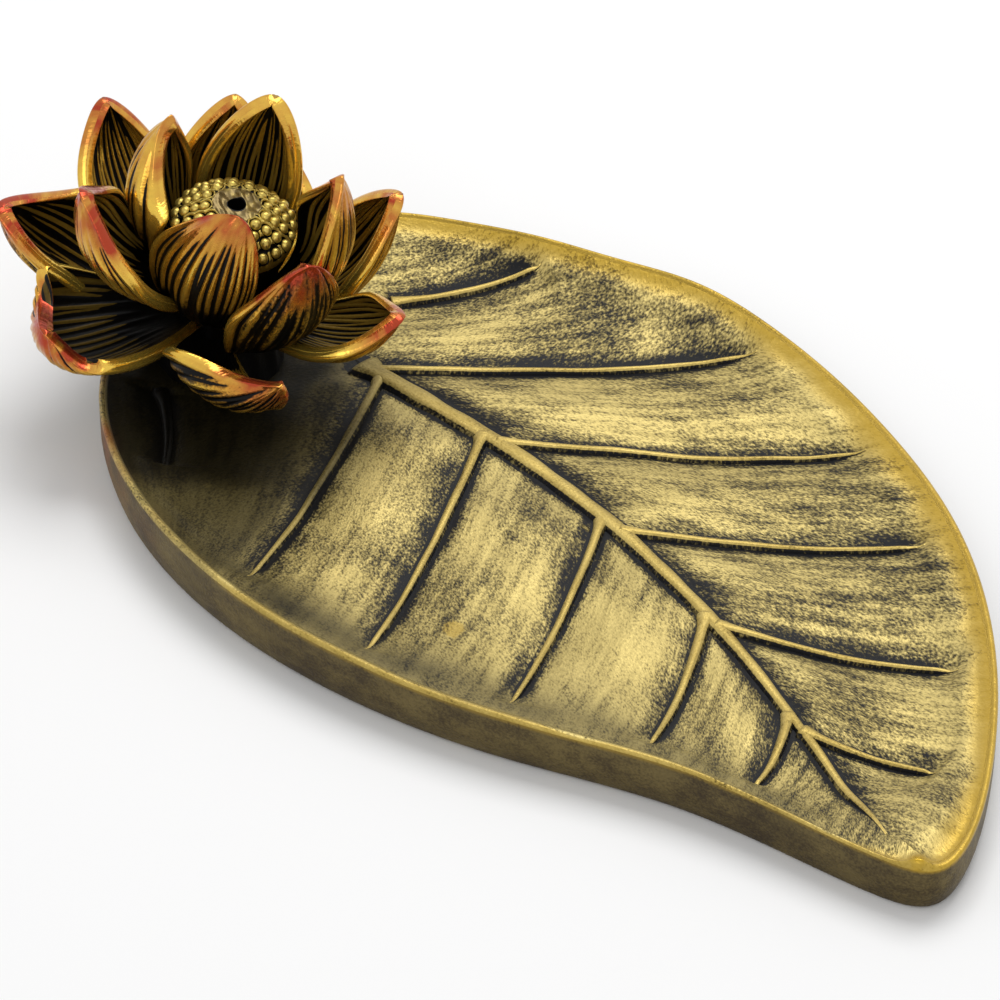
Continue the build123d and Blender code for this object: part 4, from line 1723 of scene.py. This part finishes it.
@dataclass
class Flower:
    """The lotus: receptacle, three whorls of petals and the seed pod."""

    receptacle: Receptacle = field(default_factory=Receptacle)
    pod: SeedPod = field(default_factory=SeedPod)
    # Turn, reach, rise, half width, curl, cup, sway, roll, lift, skew and tip point of each
    petals: tuple[Petal, ...] = (
        Petal(
            "inner_petal_1", INNER, 130.2, 14.0, 31.3, 8.6, 104.6, 65.6, -1.9, -5.2, 0.7, -0.04, 0.41,
            copper=0.25, seed=1,
        ),
        Petal(
            "inner_petal_2", INNER, 194.7, 15.1, 27.7, 9.5, 136.8, 87.9, -1.7, -7.6, 0.4, -0.39, 0.61,
            copper=0.5, seed=2,
        ),
        Petal(
            "inner_petal_3", INNER, 249.5, 25.7, 26.6, 11.0, 106.0, 67.3, 0.3, -8.6, 1.2, -0.02, 0.53,
            copper=1.0, seed=3,
        ),
        Petal(
            "inner_petal_4", INNER, 301.2, 10.8, 27.5, 9.6, 132.1, 60.6, 3.7, 4.0, 0.1, 0.25, 0.45,
            copper=0.8, seed=4,
        ),
        Petal(
            "inner_petal_5", INNER, 36.3, 15.8, 32.0, 9.1, 123.2, 82.5, -0.7, 8.8, 0.2, -0.18, 0.58,
            copper=0.6, seed=5,
        ),
        Petal(
            "middle_petal_1", MIDDLE, 144.7, 20.3, 29.0, 9.5, 100.1, 58.1, 0.1, -6.4, 0.3, 0.02, 0.56,
            copper=0.4, seed=6,
        ),
        Petal(
            "middle_petal_2", MIDDLE, 356.0, 19.2, 26.6, 9.7, 116.6, 55.8, 0.4, -1.6, 0.1, 0.10, 0.51,
            copper=1.0, seed=7, wear_and_shade=0.5,
        ),
        Petal(
            "outer_petal_1", OUTER, 128.0, 31.0, 16.0, 9.5, 95.0, 62.0, 0.0, 0.0, 0.0, 0.0, 0.5,
            copper=0.5, seed=8,
        ),
        Petal(
            "outer_petal_2", OUTER, 178.0, 35.9, 22.5, 8.9, 91.1, 64.5, 0.3, -4.8, 0.0, -0.06, 0.51,
            copper=0.6, seed=9,
        ),
        Petal(
            "outer_petal_3", OUTER, 222.5, 36.4, 22.0, 10.0, 85.3, 88.0, 5.3, 8.3, 2.0, 0.22, 0.44,
            copper=0.7, seed=10, wear_and_shade=0.5,
        ),
        Petal(
            "outer_petal_4", OUTER, 262.1, 34.5, 16.0, 12.5, 107.3, 61.1, 3.2, -0.9, 6.0, 0.05, 0.43,
            copper=0.9, seed=11, wear_and_shade=0.25, hollow=0.85,
        ),
        Petal(
            "outer_petal_5", OUTER, 317.7, 31.7, 20.6, 8.8, 106.8, 58.1, 10.7, 0.1, 4.9, 0.34, 0.53,
            copper=0.8, seed=12, wear_and_shade=0.42,
        ),
        Petal(
            "outer_petal_6", OUTER, 28.6, 29.7, 17.7, 8.5, 85.0, 61.8, 0.6, 5.8, 5.5, 0.05, 0.51,
            copper=0.6, seed=13, hollow=0.7,
        ),
        Petal(
            "outer_petal_7", OUTER, 74.0, 27.8, 25.4, 8.5, 94.9, 74.8, -1.5, -3.9, 0.9, 0.05, 0.48,
            copper=0.5, seed=14,
        ),
    )

    def build(self) -> list[bpy.types.Object]:
        """Build the whole flower.

        Returns:
            Its pieces.
        """
        finish = PETAL_FINISH.build()
        pieces = [self.receptacle.build()]
        pieces += [petal.build(finish) for petal in self.petals]
        return pieces + self.pod.build()


@dataclass(frozen=True)
class Softbox:
    """A square studio light that looks at the object."""

    name: str
    place: tuple[float, float, float]
    side: float
    power: float


@dataclass
class Studio:
    """White floor, soft light and the camera, all in metres."""

    azimuth: float = 50.0
    elevation: float = 35.0
    distance: float = 0.7
    target: tuple[float, float, float] = (0.05482, 0.0138, 0.0)
    lens: float = 162.54
    sensor: float = 36.0
    floor_side: float = 6.0
    floor_colour: str = "#fafafa"
    sky: float = 0.55
    lamps: tuple[Softbox, ...] = (
        Softbox("overhead_softbox", (-0.20, 0.45, 1.00), 0.7, 6.5),
        Softbox("front_softbox", (0.55, -0.75, 0.75), 0.6, 1.8),
    )

    def build(self) -> None:
        """Build the floor, the lamps, the sky and the camera."""
        self.build_floor()
        self.build_sky()
        for lamp in self.lamps:
            light = bpy.data.lights.new(lamp.name, "AREA")
            light.size = lamp.side
            light.energy = lamp.power
            self.aim(bpy.data.objects.new(lamp.name, light), Vector(lamp.place))
        back = Vector(
            (
                sin(radians(self.azimuth)) * cos(radians(self.elevation)),
                -cos(radians(self.azimuth)) * cos(radians(self.elevation)),
                sin(radians(self.elevation)),
            )
        )
        camera = bpy.data.cameras.new("photo_camera")
        camera.lens = self.lens
        camera.sensor_width = self.sensor
        camera.clip_start = 0.01
        holder = bpy.data.objects.new("photo_camera", camera)
        self.aim(holder, Vector(self.target) + back * self.distance)
        bpy.context.scene.camera = holder

    def aim(self, thing: bpy.types.Object, place: Vector) -> None:
        """Put a lamp or the camera in place, looking at the object.

        Args:
            thing: the lamp's or the camera's object.
            place: where it stands.
        """
        bpy.context.scene.collection.objects.link(thing)
        thing.location = place
        thing.rotation_euler = (place - Vector(self.target)).to_track_quat("Z", "Y").to_euler()

    def build_floor(self) -> None:
        """Lay the pale floor."""
        half = self.floor_side / 2
        mesh = bpy.data.meshes.new("floor")
        corners = [(-half, -half, 0), (half, -half, 0), (half, half, 0), (-half, half, 0)]
        mesh.from_pydata(corners, [], [(0, 1, 2, 3)])
        floor = bpy.data.objects.new("floor", mesh)
        bpy.context.scene.collection.objects.link(floor)
        material = bpy.data.materials.new("matt_white_paper")
        material.use_nodes = True
        shader = material.node_tree.nodes["Principled BSDF"]
        shader.inputs["Base Color"].default_value = linear(self.floor_colour)
        shader.inputs["Roughness"].default_value = 0.9
        shader.inputs["Specular IOR Level"].default_value = 0.1
        mesh.materials.append(material)

    def build_sky(self) -> None:
        """Light the room evenly, and show white to the camera, in gloss and through clear pieces."""
        world = bpy.data.worlds.new("white_room")
        bpy.context.scene.world = world
        world.use_nodes = True
        tree = world.node_tree
        tree.nodes.clear()
        ray = add_node(tree, "LightPath")
        shown = ray.outputs["Is Camera Ray"]
        for other in ("Is Glossy Ray", "Is Transmission Ray"):
            inputs = {0: shown, 1: ray.outputs[other]}
            shown = add_node(tree, "Math", inputs, operation="MAXIMUM").outputs[0]
        limits = {"Value": shown, "To Min": self.sky, "To Max": 1.0}
        strength = add_node(tree, "MapRange", limits).outputs[0]
        light = add_node(tree, "Background", {"Color": linear("#ffffff"), "Strength": strength})
        add_node(tree, "OutputWorld", {"Surface": light.outputs[0]})


def main() -> None:
    """Build the holder and its studio in order."""
    logging.basicConfig(level=logging.INFO, format="%(name)s: %(message)s")
    bpy.context.scene.view_settings.view_transform = "Standard"
    LeafDish().build()
    Flower().build()
    Studio().build()


if __name__ == "__main__":
    main()
